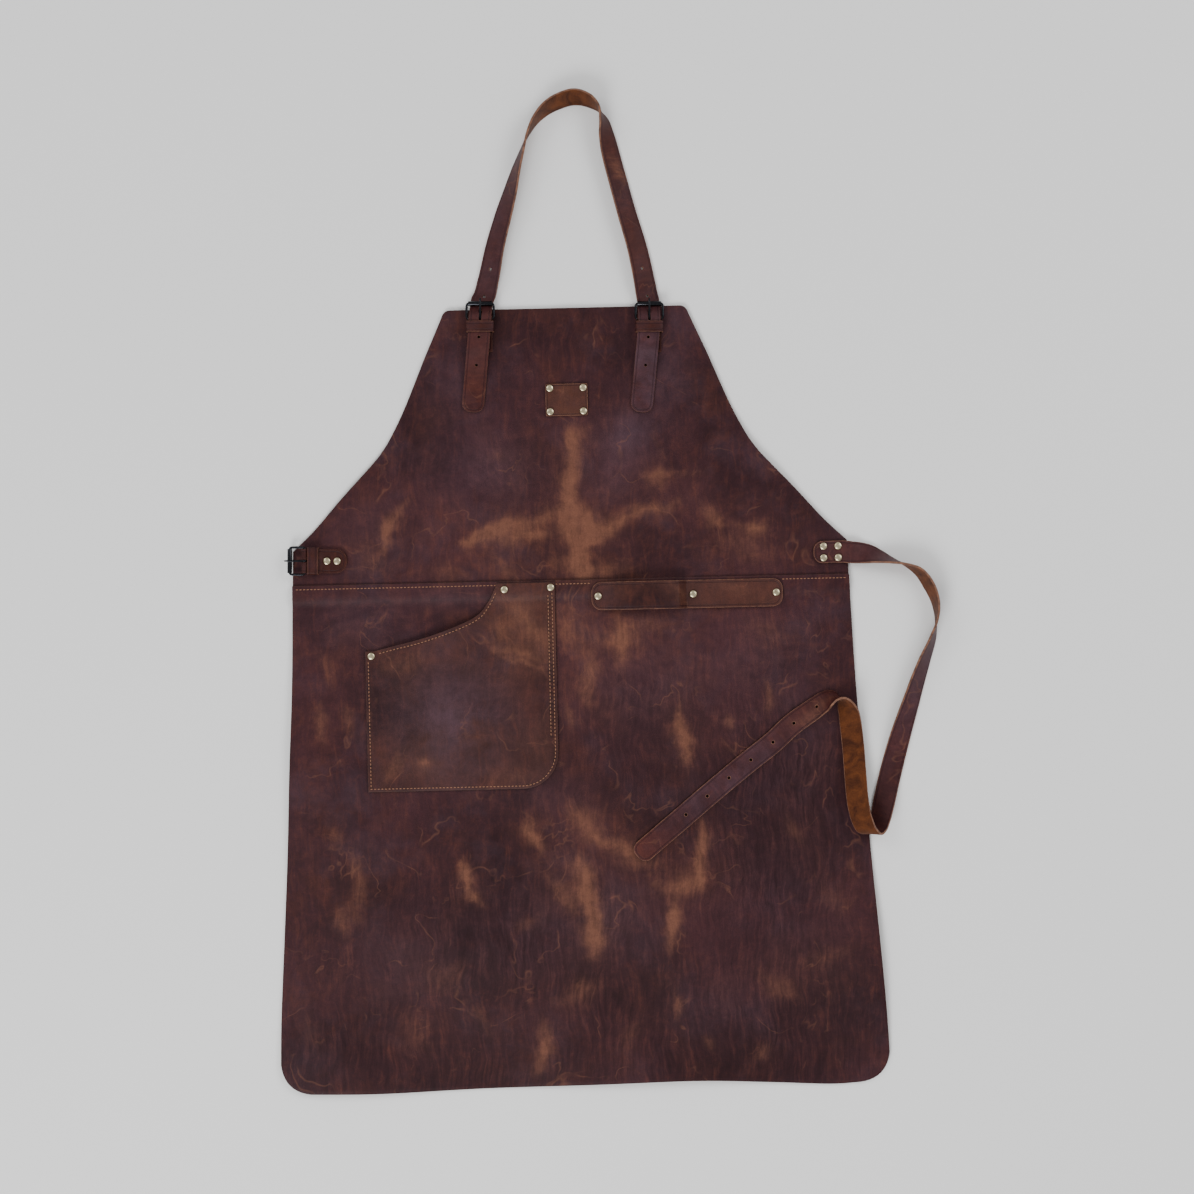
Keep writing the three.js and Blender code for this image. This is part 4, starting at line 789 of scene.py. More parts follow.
def grain_leather(name, base, crease_inset=None, shift=0.0, warmth=0.5):
    """Full-grain pull-up leather: waxed and dark, aubergine to brown in soft clouds, with a
    fine drawn grain; where it was bent or rubbed the wax parts and the tan hide shows."""
    look = bpy.context.scene.apron_leather
    material, tree, shader = new_material(name)
    flat = add_node(tree, "ShaderNodeUVMap", {"uv_map": "flat_cut"}).outputs["UV"]
    moved = add_node(
        tree, "ShaderNodeMapping", Vector=flat, Location=(shift, shift * 0.7, 0)
    ).outputs["Vector"]
    # The hide's marks wander by about 12 mm.
    wander = add_node(tree, "ShaderNodeTexNoise", Vector=moved, Scale=16.0, Detail=3.0).outputs["Color"]
    drift = add_node(tree, "ShaderNodeVectorMath", {"operation": "SCALE"}, in0=wander, Scale=0.022)
    wandered = add_node(
        tree, "ShaderNodeVectorMath", {"operation": "ADD"}, in0=moved, in1=drift.outputs["Vector"]
    ).outputs["Vector"]

    def noise_of(vector, scale, detail=5.0, rough=0.6, distortion=0.0):
        return add_node(
            tree, "ShaderNodeTexNoise", Vector=vector, Scale=scale, Detail=detail, Roughness=rough,
            Distortion=distortion,
        ).outputs["Fac"]

    def drawn(turn, across, along):
        """Streaks this many to the metre across and along, at this bearing."""
        turned = add_node(
            tree, "ShaderNodeMapping", Vector=wandered, Rotation=(0, 0, turn), Scale=(across, along, 1)
        ).outputs["Vector"]
        return noise_of(turned, 1.0, 6.0, 0.68, 0.4)

    # Clouds of dye about 110 mm across, blotches of 35 mm, mottling of 9 mm.
    clouds = noise_of(wandered, 8.0, 5.0, 0.6)
    blotches = noise_of(wandered, 22.0, 6.0, 0.7)
    mottle = noise_of(wandered, 90.0, 6.0, 0.75)
    # Streaks 4 mm wide run down the hide in some places and aslant in others.
    down = drawn(0.12, 210.0, 26.0)
    aslant = drawn(1.25, 230.0, 30.0)
    where = step_between(tree, noise_of(wandered, 6.5, 2.0), 0.42, 0.58)
    streaks = mixed(tree, where, down, aslant)
    dark, mid, tan, cool_bloom_and_sheen, warm = [
        linear(c) for c in (look.dark, base, look.rub, look.bloom_and_sheen, look.warm)
    ]
    body = mixed(tree, step_between(tree, clouds, 0.28, 0.66), dark, mid)
    # Random patches of the cool colour: wax bloom, partly painted sheen of the wax.
    chill = scaled(tree, step_between(tree, noise_of(moved, 12.0, 4.0, 0.65), 0.5, 0.75), 0.45)
    body = mixed(tree, chill, body, cool_bloom_and_sheen)
    body = mixed(tree, scaled(tree, step_between(tree, blotches, 0.48, 0.85), warmth), body, warm)
    body = mixed(tree, scaled(tree, step_between(tree, streaks, 0.5, 0.85), 0.5), body, warm)
    body = mixed(tree, scaled(tree, step_between(tree, mottle, 0.5, 0.8), 0.3), body, warm)

    # Wax bloom with painted sheen first, then deep shade, then the rubs over both.
    bloom_and_sheen = scaled(tree, seen(tree, "bloom_and_sheen"), step_between(tree, blotches, 0.25, 0.6))
    body = mixed(tree, scaled(tree, bloom_and_sheen, 0.8), body, cool_bloom_and_sheen)
    shade = scaled(tree, seen(tree, "shade"), step_between(tree, streaks, 0.75, 0.3))
    body = mixed(tree, scaled(tree, shade, 0.95), body, dark)
    rubbed = seen(tree, "rub")
    frayed = maths(tree, "ADD", rubbed, scaled(tree, maths(tree, "SUBTRACT", streaks, 0.5), 1.5))
    frayed = maths(tree, "ADD", frayed, scaled(tree, maths(tree, "SUBTRACT", mottle, 0.5), 0.8))
    soft = scaled(tree, rubbed, 0.3)
    sharp = scaled(tree, step_between(tree, frayed, 0.15, 1.2), rubbed)
    rub = maths(tree, "ADD", scaled(tree, sharp, 0.52), scaled(tree, soft, 0.55), True)
    body = mixed(tree, rub, body, tan)
    # Creases of the hide: thin pale veins that come and go.
    vein_field = noise_of(wandered, 17.0, 3.0, 0.5, 0.6)
    vein = maths(tree, "ABSOLUTE", maths(tree, "SUBTRACT", vein_field, 0.5))
    vein = step_between(tree, vein, 0.012, 0.0)
    vein = scaled(tree, vein, step_between(tree, noise_of(moved, 23.0, 2.0), 0.5, 0.62))
    body = mixed(tree, scaled(tree, vein, 0.3), body, tan)
    # Scratches half a millimetre wide.
    scratched = scaled(tree, step_between(tree, drawn(0.7, 1500.0, 55.0), 0.7, 0.78), step_between(tree, mottle, 0.5, 0.62))
    body = mixed(tree, scaled(tree, scratched, 0.35), body, tan)

    # The grain: pebbles 1.3 mm across and pores between them.
    pebbles = add_node(
        tree, "ShaderNodeTexVoronoi", {"feature": "DISTANCE_TO_EDGE"}, Vector=moved, Scale=760.0
    ).outputs["Distance"]
    pebbled = step_between(tree, pebbles, 0.0, 0.22)
    grain = maths(tree, "ADD", scaled(tree, pebbled, 0.5), scaled(tree, noise_of(moved, 1700.0, 3.0), 0.5))
    tone = ramp(tree, grain, [(0.1, grey(0.78)), (0.8, grey(1.1))])
    body = mixed(tree, 1.0, body, tone, "MULTIPLY")
    tone = ramp(tree, streaks, [(0.3, grey(0.9)), (0.7, grey(1.08))])
    body = mixed(tree, 1.0, body, tone, "MULTIPLY")
    tone = ramp(tree, mottle, [(0.3, grey(0.82)), (0.7, grey(1.16))])
    body = mixed(tree, 1.0, body, tone, "MULTIPLY")

    # The thread lies in a groove, painted darker along the seam as its shade; straps carry a creased line inside their
    # edges.
    edge = seen(tree, "to_edge_mm")
    seam = seen(tree, "to_seam_mm")
    groove_depth_and_shade = ramp(tree, scaled(tree, seam, 0.5), [(0.2, grey(0.5)), (0.75, grey(1))])
    body = mixed(tree, 1.0, body, groove_depth_and_shade, "MULTIPLY")
    height = maths(tree, "ADD", scaled(tree, grain, 0.14), scaled(tree, streaks, 0.5))
    height = maths(tree, "ADD", height, scaled(tree, groove_depth_and_shade, 0.8))
    if crease_inset:
        off = maths(tree, "ABSOLUTE", maths(tree, "SUBTRACT", edge, crease_inset))
        line = step_between(tree, off, 0.2, 0.7)
        creased = maths(tree, "SUBTRACT", 1.0, line)
        body = mixed(tree, scaled(tree, creased, 0.55), body, dark)
        height = maths(tree, "ADD", height, scaled(tree, line, 0.5))
    tree.links.new(body, shader.inputs["Base Color"])
    rough = maths(tree, "ADD", scaled(tree, blotches, 0.2), look.roughness)
    tree.links.new(rough, shader.inputs["Roughness"])
    bump = add_node(tree, "ShaderNodeBump", Height=height, Distance=0.0007, Strength=0.7)
    tree.links.new(bump.outputs["Normal"], shader.inputs["Normal"])
    shader.inputs["Specular IOR Level"].default_value = 0.17
    shader.inputs["IOR"].default_value = 1.48
    return material


def flesh_leather(name, colour, deep):
    """The hide's flesh side: sueded, rust brown, matt, with short fibres and darker drags."""
    material, tree, shader = new_material(name)
    flat = add_node(tree, "ShaderNodeUVMap", {"uv_map": "flat_cut"}).outputs["UV"]
    # Fibres a millimetre or so long, and drags of the knife about 20 mm.
    fibres = add_node(
        tree, "ShaderNodeTexNoise", Vector=flat, Scale=1100.0, Detail=4.0, Roughness=0.7
    ).outputs["Fac"]
    drags = add_node(
        tree, "ShaderNodeTexNoise", Vector=flat, Scale=60.0, Detail=6.0, Roughness=0.7, Distortion=1.0
    ).outputs["Fac"]
    body = mixed(tree, step_between(tree, drags, 0.35, 0.62), linear(deep), linear(colour))
    tone = ramp(tree, fibres, [(0.25, grey(0.6)), (0.75, grey(1.2))])
    body = mixed(tree, 1.0, body, tone, "MULTIPLY")
    tree.links.new(body, shader.inputs["Base Color"])
    shader.inputs["Roughness"].default_value = 0.9
    shader.inputs["Specular IOR Level"].default_value = 0.2
    shader.inputs["Sheen Weight"].default_value = 0.08
    shader.inputs["Sheen Roughness"].default_value = 0.5
    bump = add_node(tree, "ShaderNodeBump", Height=fibres, Distance=0.0005, Strength=0.7)
    tree.links.new(bump.outputs["Normal"], shader.inputs["Normal"])
    return material


def cut_edge(name, colour, deep):
    """The cut edge of the hide: burnished tan brown, close fibres in layers."""
    material, tree, shader = new_material(name)
    place = add_node(tree, "ShaderNodeTexCoord").outputs["Object"]
    fibres = add_node(
        tree, "ShaderNodeTexNoise", Vector=place, Scale=240.0, Detail=5.0, Roughness=0.7
    ).outputs["Fac"]
    body = mixed(tree, step_between(tree, fibres, 0.35, 0.65), linear(deep), linear(colour))
    tree.links.new(body, shader.inputs["Base Color"])
    shader.inputs["Roughness"].default_value = 0.6
    shader.inputs["Specular IOR Level"].default_value = 0.35
    bump = add_node(tree, "ShaderNodeBump", Height=fibres, Distance=0.0003, Strength=0.5)
    tree.links.new(bump.outputs["Normal"], shader.inputs["Normal"])
    return material


def plated_metal(name, colour, worn, roughness):
    """Plated wire or sheet: satin metal, slightly mottled, its plating thinner in spots."""
    material, tree, shader = new_material(name)
    place = add_node(tree, "ShaderNodeTexCoord").outputs["Object"]
    mottle = add_node(tree, "ShaderNodeTexNoise", Vector=place, Scale=700.0, Detail=4.0, Roughness=0.6).outputs["Fac"]
    broad = add_node(tree, "ShaderNodeTexNoise", Vector=place, Scale=160.0, Detail=3.0).outputs["Fac"]
    thin = ramp(tree, mottle, [(0.52, grey(0)), (0.7, grey(1))])
    body = mixed(tree, maths(tree, "MULTIPLY", thin, 0.6), linear(colour), linear(worn))
    tree.links.new(body, shader.inputs["Base Color"])
    shader.inputs["Metallic"].default_value = 1.0
    rough = maths(tree, "ADD", maths(tree, "MULTIPLY", broad, 0.22), roughness)
    tree.links.new(rough, shader.inputs["Roughness"])
    bump = add_node(tree, "ShaderNodeBump", Height=mottle, Distance=0.00008, Strength=0.4)
    tree.links.new(bump.outputs["Normal"], shader.inputs["Normal"])
    return material


def waxed_thread(name, colour):
    """Waxed linen thread: twisted strands, tan, with a dull wax sheen."""
    material, tree, shader = new_material(name)
    place = add_node(tree, "ShaderNodeTexCoord").outputs["Object"]
    twist = add_node(tree, "ShaderNodeTexWave", {"bands_direction": "DIAGONAL"}, Vector=place, Scale=520.0, Distortion=1.0).outputs["Fac"]
    light = linear(colour)
    deep = tuple(c * 0.5 for c in light[:3]) + (1,)
    body = mixed(tree, twist, deep, light)
    tree.links.new(body, shader.inputs["Base Color"])
    shader.inputs["Roughness"].default_value = 0.62
    bump = add_node(tree, "ShaderNodeBump", Height=twist, Distance=0.0002, Strength=0.5)
    tree.links.new(bump.outputs["Normal"], shader.inputs["Normal"])
    return material


MADE = {}


def material_of(name):
    """Each material is made once, when the first piece asks for it."""
    if name in MADE:
        return MADE[name]
    look = bpy.context.scene.apron_leather
    metal = bpy.context.scene.apron_hardware
    makers = {
        "pull_up_panel": lambda: grain_leather(name, look.grain),
        "pull_up_pocket": lambda: grain_leather(name, look.pocket, None, 3.1, 0.7),
        "pull_up_tab": lambda: grain_leather(name, look.tab, 2.4, 5.3, 0.3),
        "pull_up_loop": lambda: grain_leather(name, look.pocket, 2.6, 7.7, 0.5),
        "pull_up_strap": lambda: grain_leather(name, look.strap, 2.2, 9.1, 0.3),
        "pull_up_patch": lambda: grain_leather(name, look.patch, 1.6, 1.7, 0.2),
        "suede_flesh": lambda: flesh_leather(name, look.flesh, look.flesh_deep),
        # The panels' cut edges are painted dark: their burnish, and painted shade along the panels' outline.
        "burnished_edge_and_shade": lambda: cut_edge(name, look.burnished, look.dark),
        "raw_edge": lambda: cut_edge(name, look.edge, look.burnished),
        "black_nickel": lambda: plated_metal(name, metal.buckle, metal.buckle_worn, 0.1),
        "antique_nickel": lambda: plated_metal(name, metal.rivet, metal.rivet_worn, 0.2),
        "waxed_linen": lambda: waxed_thread(name, metal.thread),
    }
    MADE[name] = makers[name]()
    return MADE[name]


# Making pieces

def deselect_all():
    if bpy.context.object and bpy.context.object.mode != "OBJECT":
        bpy.ops.object.mode_set(mode="OBJECT")
    bpy.ops.object.select_all(action="DESELECT")


def make_active(piece):
    deselect_all()
    piece.select_set(True)
    bpy.context.view_layer.objects.active = piece


def apply_modifiers(piece):
    make_active(piece)
    for modifier in list(piece.modifiers):
        bpy.ops.object.modifier_apply(modifier=modifier.name)


def painted(points, strokes):
    """How strongly strokes such as rubs cover each point, from 0 to 1. They wander by about
    7 mm, swell in the middle and die out at their ends."""
    drift = [noise.noise_vector(Vector((x * 0.03, y * 0.03, 4.1))) for x, y in points]
    fray = [noise.noise_vector(Vector((x * 0.11, y * 0.11, 9.7))) for x, y in points]
    points = np.asarray(points, float)
    points = points + 9.0 * np.array([v[:2] for v in drift]) + 4.0 * np.array([v[:2] for v in fray])
    total = np.zeros(len(points))
    for x0, y0, x1, y1, wide, strength in strokes:
        p, d = np.array([x0, y0], float), np.array([x1 - x0, y1 - y0], float)
        t = np.clip(((points - p) @ d) / max(d @ d, 1e-9), 0, 1)
        away = np.linalg.norm(points - (p + t[:, None] * d), axis=1)
        swell = 0.55 + 0.45 * np.sin(math.pi * t)
        total += strength * swell * np.exp(-((away / (wide * swell)) ** 2))
        # A faint halo round each mark.
        total += 0.14 * strength * np.exp(-((away / (wide * 3)) ** 2))
    return np.clip(total, 0, 1)


def washed(points, spots):
    points = np.asarray(points, float)
    total = np.zeros(len(points))
    for x, y, wide, tall, strength in spots:
        away = ((points[:, 0] - x) / wide) ** 2 + ((points[:, 1] - y) / tall) ** 2
        total += strength * np.exp(-away * 0.8)
    return np.clip(total, 0, 1)


def leather_piece(name, outline, holes, spacing, place, thick, grain, seams=(), rubs=(), blooms_and_sheen=(), shades=(), soften=0.45, edge="raw_edge"):
    """Cuts a piece flat, lays it where place puts each of its points, and gives it its
    thickness, its rounded edges and its three faces: grain, flesh and cut edge."""
    verts, faces, outline = cut_flat(outline, holes, spacing)
    mesh = bpy.data.meshes.new(name)
    laid = [ORIGIN + place(u, v) * MM for u, v in verts]
    mesh.from_pydata([tuple(p) for p in laid], [], faces)
    uv = mesh.uv_layers.new(name="flat_cut")
    for loop in mesh.loops:
        u, v = verts[loop.vertex_index]
        uv.data[loop.index].uv = (u * MM, v * MM)
    fields = {
        "to_edge_mm": to_edges(verts, [outline]),
        "to_seam_mm": to_lines(verts, seams) if len(seams) else np.full(len(verts), 99.0),
        "rub": painted(verts, rubs),
        "bloom_and_sheen": washed(verts, blooms_and_sheen),
        "shade": washed(verts, shades),
    }
    for key, values in fields.items():
        attribute = mesh.attributes.new(key, "FLOAT", "POINT")
        attribute.data.foreach_set("value", np.asarray(values, np.float32))
    piece = bpy.data.objects.new(name, mesh)
    bpy.context.scene.collection.objects.link(piece)
    for material in (grain, "suede_flesh", edge):
        mesh.materials.append(material_of(material))
    wall = piece.modifiers.new("thickness", "SOLIDIFY")
    wall.thickness = thick * MM
    wall.offset = 0
    wall.use_even_offset = True
    wall.material_offset = 1
    wall.material_offset_rim = 2
    softened = piece.modifiers.new("edges", "BEVEL")
    softened.width = soften * MM
    softened.segments = 2
    softened.limit_method = "ANGLE"
    softened.angle_limit = 50 * DEG
    softened.use_clamp_overlap = True
    softened.material = 2
    apply_modifiers(piece)
    bpy.ops.object.shade_smooth_by_angle(angle=40 * DEG)
    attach(piece, "root")
    return piece


def wrinkled(height, amount=0.35):
    """Adds the slow unevenness of a hide that was rolled up."""

    def lifted(x, y):
        near = min(math.hypot(x - rx, y - ry) for rx, ry in RIVET_PLACES)
        free = clamp((near - 12) / 30, 0, 1)
        slow = noise.noise(Vector((x * 0.02, y * 0.02, 1.7)))
        quick = noise.noise(Vector((x * 0.055, y * 0.045, 8.3)))
        return height(x, y) + free * amount * max(0.0, slow + 0.45 * quick)

    return lifted


def post_holes(names):
    return [circle(*rivet_place(n), POST_RADIUS + GAP, 12) for n in names]


def holes_of(*groups):
    return post_holes([n for n in RIVET_NODES if n.split("_rivet_")[0] in groups])


SEAM_LINE = [(-SEAM_HALF + 3, 0.0), (SEAM_HALF - 3, 0.0)]


def pocket_seams():
    r = POCKET_CORNER_RADIUS - 3
    left, right, low = POCKET_LEFT + 3, POCKET_RIGHT - 3, POCKET_BOTTOM + 3
    around = (
        [(left, POCKET_MOUTH_LOW - 10), (left, low)]
        + arc(right - r, low + r, r, -90, 0, 12)
        + [(right, POCKET_TOP - 10)]
    )
    inner = [(right - 4, low + r + 16), (right - 4, POCKET_TOP - 12)]
    mouth = [(x + 1.5, y - 3.2) for x, y in pocket_mouth()]
    return [around, inner, mouth[4:-2]]


def hex_colour(name, description, default):
    return bpy.props.StringProperty(name=name, description=f"{description}, sRGB hex", default=default)


class LeatherLooks(bpy.types.PropertyGroup):
    grain: hex_colour("Panels", "Panel leather", "432429")
    dark: hex_colour("Darkest", "Waxed depths of the hide", "220b11")
    warm: hex_colour("Warm", "Reddish patches of the hide", "5a2f20")
    rub: hex_colour("Rubs", "Pull-up marks", "7c503d")
    # Cool grey of the wax's bloom, which also stands for painted sheen of the wax.
    bloom_and_sheen: hex_colour("Bloom", "Cool greyish bloom of the wax", "4a3641")
    pocket: hex_colour("Pocket", "Pocket and loop leather", "50312b")
    tab: hex_colour("Tabs", "Tab and keeper leather", "4a241b")
    strap: hex_colour("Straps", "Strap leather", "4a221e")
    patch: hex_colour("Patch", "Patch leather", "5c382b")
    flesh: hex_colour("Flesh side", "Sueded flesh side", "633518")
    flesh_deep: hex_colour("Flesh side, deep", "Darker drags of the flesh side", "3a1a0a")
    edge: hex_colour("Raw edge", "Cut edge of straps and tabs", "8a6049")
    # Dark burnish of the panels' cut edges, which also stands for painted shade along their outline.
    burnished: hex_colour("Burnished edge", "Cut edge of panels", "4e3026")
    roughness: bpy.props.FloatProperty(
        name="Roughness", description="Dullness of the grain side", default=0.42, min=0, max=1
    )
    spacing: bpy.props.FloatProperty(
        name="Panel spacing", description="Distance between a panel's points", default=4.2 * MM, unit="LENGTH"
    )


class HardwareLooks(bpy.types.PropertyGroup):
    buckle: bpy.props.StringProperty(name="Buckles", description="Black nickel plate, sRGB hex", default="2b2c30")
    buckle_worn: bpy.props.StringProperty(name="Worn buckles", description="Plate where it is rubbed, sRGB hex", default="4c4b4c")
    rivet: bpy.props.StringProperty(name="Rivets", description="Antique nickel caps, sRGB hex", default="cbbf9f")
    rivet_worn: bpy.props.StringProperty(name="Worn rivets", description="Tarnished spots, sRGB hex", default="85745a")
    thread: bpy.props.StringProperty(name="Thread", description="Waxed linen, sRGB hex", default="9a6a4f")
    stitch: bpy.props.FloatProperty(name="Stitch", description="Length of a stitch", default=2.7 * MM, unit="LENGTH")
    pitch: bpy.props.FloatProperty(name="Pitch", description="From stitch to stitch", default=3.6 * MM, unit="LENGTH")


class StudioLooks(bpy.types.PropertyGroup):
    floor: bpy.props.StringProperty(name="Floor", description="Pale floor, sRGB hex", default="f6f6f6")
    light: bpy.props.FloatProperty(name="Key light", description="Power of the big soft light", default=70.0, min=0)
    fill: bpy.props.FloatProperty(name="Fill", description="Strength of the light from all round", default=0.55, min=0)
    lens: bpy.props.FloatProperty(name="Lens", description="Focal length in millimetres", default=85.0, min=20)
    turn: bpy.props.FloatProperty(
        name="Turn", description="How far the camera is turned about its view", default=-1.29 * DEG, subtype="ANGLE"
    )


class APRON_OT_bib(bpy.types.Operator):
    """Cut and lay the bib"""

    bl_idname = "apron.bib"
    bl_label = "Bib"

    def execute(self, context):
        spacing = context.scene.apron_leather.spacing / MM
        outline = bib_outline()
        holes = holes_of("patch", "strap", "side", "neck")
        piece = leather_piece(
            "bib_leather", outline, holes, spacing, on_top(wrinkled(bib_top)), PANEL_THICK,
            "pull_up_panel", [SEAM_LINE], RUBS, BLOOMS_AND_SHEEN, SHADES,
            edge="burnished_edge_and_shade",
        )
        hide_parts("bib_panel")
        return {"FINISHED"}


class APRON_OT_skirt(bpy.types.Operator):
    """Cut and lay the skirt, lapped over the bib"""

    bl_idname = "apron.skirt"
    bl_label = "Skirt"

    def execute(self, context):
        spacing = context.scene.apron_leather.spacing / MM
        outline = skirt_outline()
        piece = leather_piece(
            "skirt_leather", outline, holes_of("pocket", "loop"), spacing, on_top(wrinkled(skirt_top)),
            PANEL_THICK, "pull_up_panel", [SEAM_LINE], RUBS, BLOOMS_AND_SHEEN, SHADES,
            edge="burnished_edge_and_shade",
        )
        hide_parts("skirt_panel")
        return {"FINISHED"}


class APRON_OT_pocket(bpy.types.Operator):
    """Cut and lay the patch pocket"""

    bl_idname = "apron.pocket"
    bl_label = "Pocket"

    def execute(self, context):
        outline = pocket_outline()
        piece = leather_piece(
            "pocket_leather", outline, holes_of("pocket"), 3.2, on_top(wrinkled(pocket_top)), PANEL_THICK,
            "pull_up_pocket", pocket_seams(), POCKET_RUBS, BLOOMS_AND_SHEEN, SHADES, edge="burnished_edge_and_shade",
        )
        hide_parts("pocket")
        return {"FINISHED"}


class APRON_OT_tool_loop(bpy.types.Operator):
    """Cut and lay the tool loop's band"""

    bl_idname = "apron.tool_loop"
    bl_label = "Tool loop"

    def execute(self, context):
        outline = rounded_box(
            LOOP_LEFT, LOOP_MIDDLE - LOOP_WIDTH / 2, LOOP_LENGTH, LOOP_WIDTH, [LOOP_CORNER_RADIUS] * 4
        )
        piece = leather_piece(
            "tool_loop_leather", outline, holes_of("loop"), 1.8, on_top(loop_top), PANEL_THICK,
            "pull_up_loop", (), [(100, -2, 112, -24, 6, 0.5), (150, -6, 190, -20, 8, 0.3)],
        )
        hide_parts("tool_loop")
        return {"FINISHED"}


class APRON_OT_label_patch(bpy.types.Operator):
    """Cut and lay the bare label patch"""

    bl_idname = "apron.label_patch"
    bl_label = "Label patch"

    def execute(self, context):
        outline = rounded_box(
            -PATCH_WIDTH / 2, PATCH_UP - PATCH_HEIGHT / 2, PATCH_WIDTH, PATCH_HEIGHT, [1.5] * 4
        )
        piece = leather_piece(
            "label_patch_leather", outline, holes_of("patch"), 1.5, on_top(patch_top), PANEL_THICK,
            "pull_up_patch",
        )
        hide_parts("label_patch")
        return {"FINISHED"}


class APRON_OT_neck_strap(bpy.types.Operator):
    """Cut the neck strap and lead it through both buckles"""

    bl_idname = "apron.neck_strap"
    bl_label = "Neck strap"

    def execute(self, context):
        route = neck_route()
        first = NECK_END_LENGTH - KEEPER_START - KEEPER_LENGTH - 4
        beyond = NECK_END_LENGTH + BUCKLE_SPAN + 12
        ends = [first, first - STRAP_HOLE_PITCH, beyond, beyond + STRAP_HOLE_PITCH]
        distances = ends + [route.length - d for d in ends]
        holes = [circle(d, 0, STRAP_HOLE_RADIUS) for d in distances]
        bars = [route.knots[len(NECK_END)], route.knots[-1 - len(NECK_END)]]
        slot_half = PRONG_WIDTH / 2 + GAP
        for bar, way in zip(bars, (1, -1)):
            near, far = sorted((bar - 2 * way, bar + 9.5 * way))
            holes.append(rounded_box(near, -slot_half, far - near, 2 * slot_half, [1.0] * 4))
        outline = strap_outline(route.length)
        # The last list holds spots of wax bloom with painted sheen on the strap.
        piece = leather_piece(
            "neck_strap_leather", outline, holes, 2.0, route.place, STRAP_THICK,
            "pull_up_strap", (), [(route.length * 0.62, 0, route.length * 0.66, 6, 8, 0.6)],
            [(route.length - 40, 0, 60, 30, 1.0), (150, 0, 70, 30, 0.5)],
        )
        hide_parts("neck_strap")
        return {"FINISHED"}


class APRON_OT_waist_strap(bpy.types.Operator):
    """Cut the punched waist strap and throw it round the side"""

    bl_idname = "apron.waist_strap"
    bl_label = "Waist strap"

    def execute(self, context):
        route = waist_route()
        holes = [circle(route.length - 64 - i * STRAP_HOLE_PITCH, 0, STRAP_HOLE_RADIUS) for i in range(8)]
        for node in (n for n in RIVET_NODES if n.startswith("strap_rivet")):
            x, y = rivet_place(node)
            holes.append(circle(x - WAIST_ROOT_X, y - WAIST_ROOT_Y, POST_RADIUS + GAP, 12))
        outline = strap_outline(route.length)
        # The last list holds spots of wax bloom with painted sheen on the strap.
        piece = leather_piece(
            "waist_strap_leather", outline, holes, 2.0, route.place, STRAP_THICK,
            "pull_up_strap", (), [(route.length - 260, 0, route.length - 200, 4, 8, 0.5)],
            [(170, 0, 130, 30, 0.7), (route.length - 120, 0, 70, 30, 0.8)],
        )
        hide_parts("waist_strap")
        return {"FINISHED"}


def filleted(corners, steps=6):
    """A line through (along, up) corners, each rounded by its cut-back where it states one."""
    out = [corners[0][:2]]
    for before, corner, after in zip(corners, corners[1:], corners[2:]):
        x, y = corner[:2]
        back = corner[2] if len(corner) > 2 else 0
        if not back:
            out.append((x, y))
            continue
        ends = []
        for other in (before, after):
            away = math.dist(other[:2], (x, y))
            share = min(back, away * 0.48) / away
            ends.append((x + (other[0] - x) * share, y + (other[1] - y) * share))
        out += quadratic(ends[0], (x, y), ends[1], steps)
    return out + [corners[-1][:2]]


class BentStrip:
    """A strip bent along a side profile of (along, up) points, standing at a buckle's place."""

    def __init__(self, profile, place, ground):
        self.points = profile
        spans = [math.dist(a, b) for a, b in zip(profile, profile[1:])]
        self.distances = np.concatenate([[0.0], np.cumsum(spans)])
        self.length = float(self.distances[-1])
        self.site, self.ground = place, ground

    def along_up(self, u):
        along = np.interp(u, self.distances, [p[0] for p in self.points])
        up = np.interp(u, self.distances, [p[1] for p in self.points])
        return float(along), float(up)

    def place(self, u, v):
        along, up = self.along_up(u)
        x, y = self.site.at(along, v)
        return Vector((x, y, self.ground + up))

    def turned(self, u, v):
        """The same for a band that runs round the strap: up its side, over and down."""
        aside, up = self.along_up(u)
        x, y = self.site.at(-KEEPER_START - KEEPER_LENGTH / 2 + v, aside)
        return Vector((x, y, self.ground + up))


def tab_profile(length):
    """The tab's middle line from its upper end, over the heel bar, to its lower end."""
    end = KEEPER_START + KEEPER_LENGTH
    low, high = TAB_THICK / 2, 1.5 * TAB_THICK
    reach = EYE_RADIUS - TAB_THICK / 2
    eye = [
        (reach * math.cos(a * DEG), BAR_LIFT + reach * math.sin(a * DEG))
        for a in range(150, -121, -15)
    ]
    upper = filleted(
        [
            (-length, GAP + high), (-end - 4.6, GAP + high, 1.5),
            (-end - 0.8, TAB_OVER_KEEPER + high, 1.5), (-4.3, TAB_OVER_KEEPER + high, 1.0), eye[0],
        ]
    )
    lower = filleted(
        [
            eye[-1], (-3.4, TAB_OVER_KEEPER + low, 1.0), (-end - 0.4, TAB_OVER_KEEPER + low, 1.5),
            (-end - 5, GAP + low, 1.5), (-length, GAP + low),
        ]
    )
    return upper[:-1], eye, lower[1:]


def make_tab(name, node, place, length, rounding, rivet_backs):
    upper, eye, lower = tab_profile(length)
    strip = BentStrip(upper + eye + lower, place, bib_top(place.x, min(place.y, BIB_HEIGHT)))
    first = strip.distances[len(upper)]
    last = strip.distances[len(upper) + len(eye) - 1]
    slot_half = PRONG_WIDTH / 2 + GAP
    holes = [rounded_box(first - 1, -slot_half, last - first + 1, 2 * slot_half, [1.0] * 4)]
    for back in rivet_backs:
        near = length - back
        holes += [circle(near, 0, POST_RADIUS + GAP, 12), circle(strip.length - near, 0, POST_RADIUS + GAP, 12)]
    outline = rounded_box(0, -TAB_WIDTH / 2, strip.length, TAB_WIDTH, [rounding] * 4)
    piece = leather_piece(
        name, outline, holes, 1.3, strip.place, TAB_THICK - 0.06, "pull_up_tab", soften=0.35
    )
    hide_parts(node)


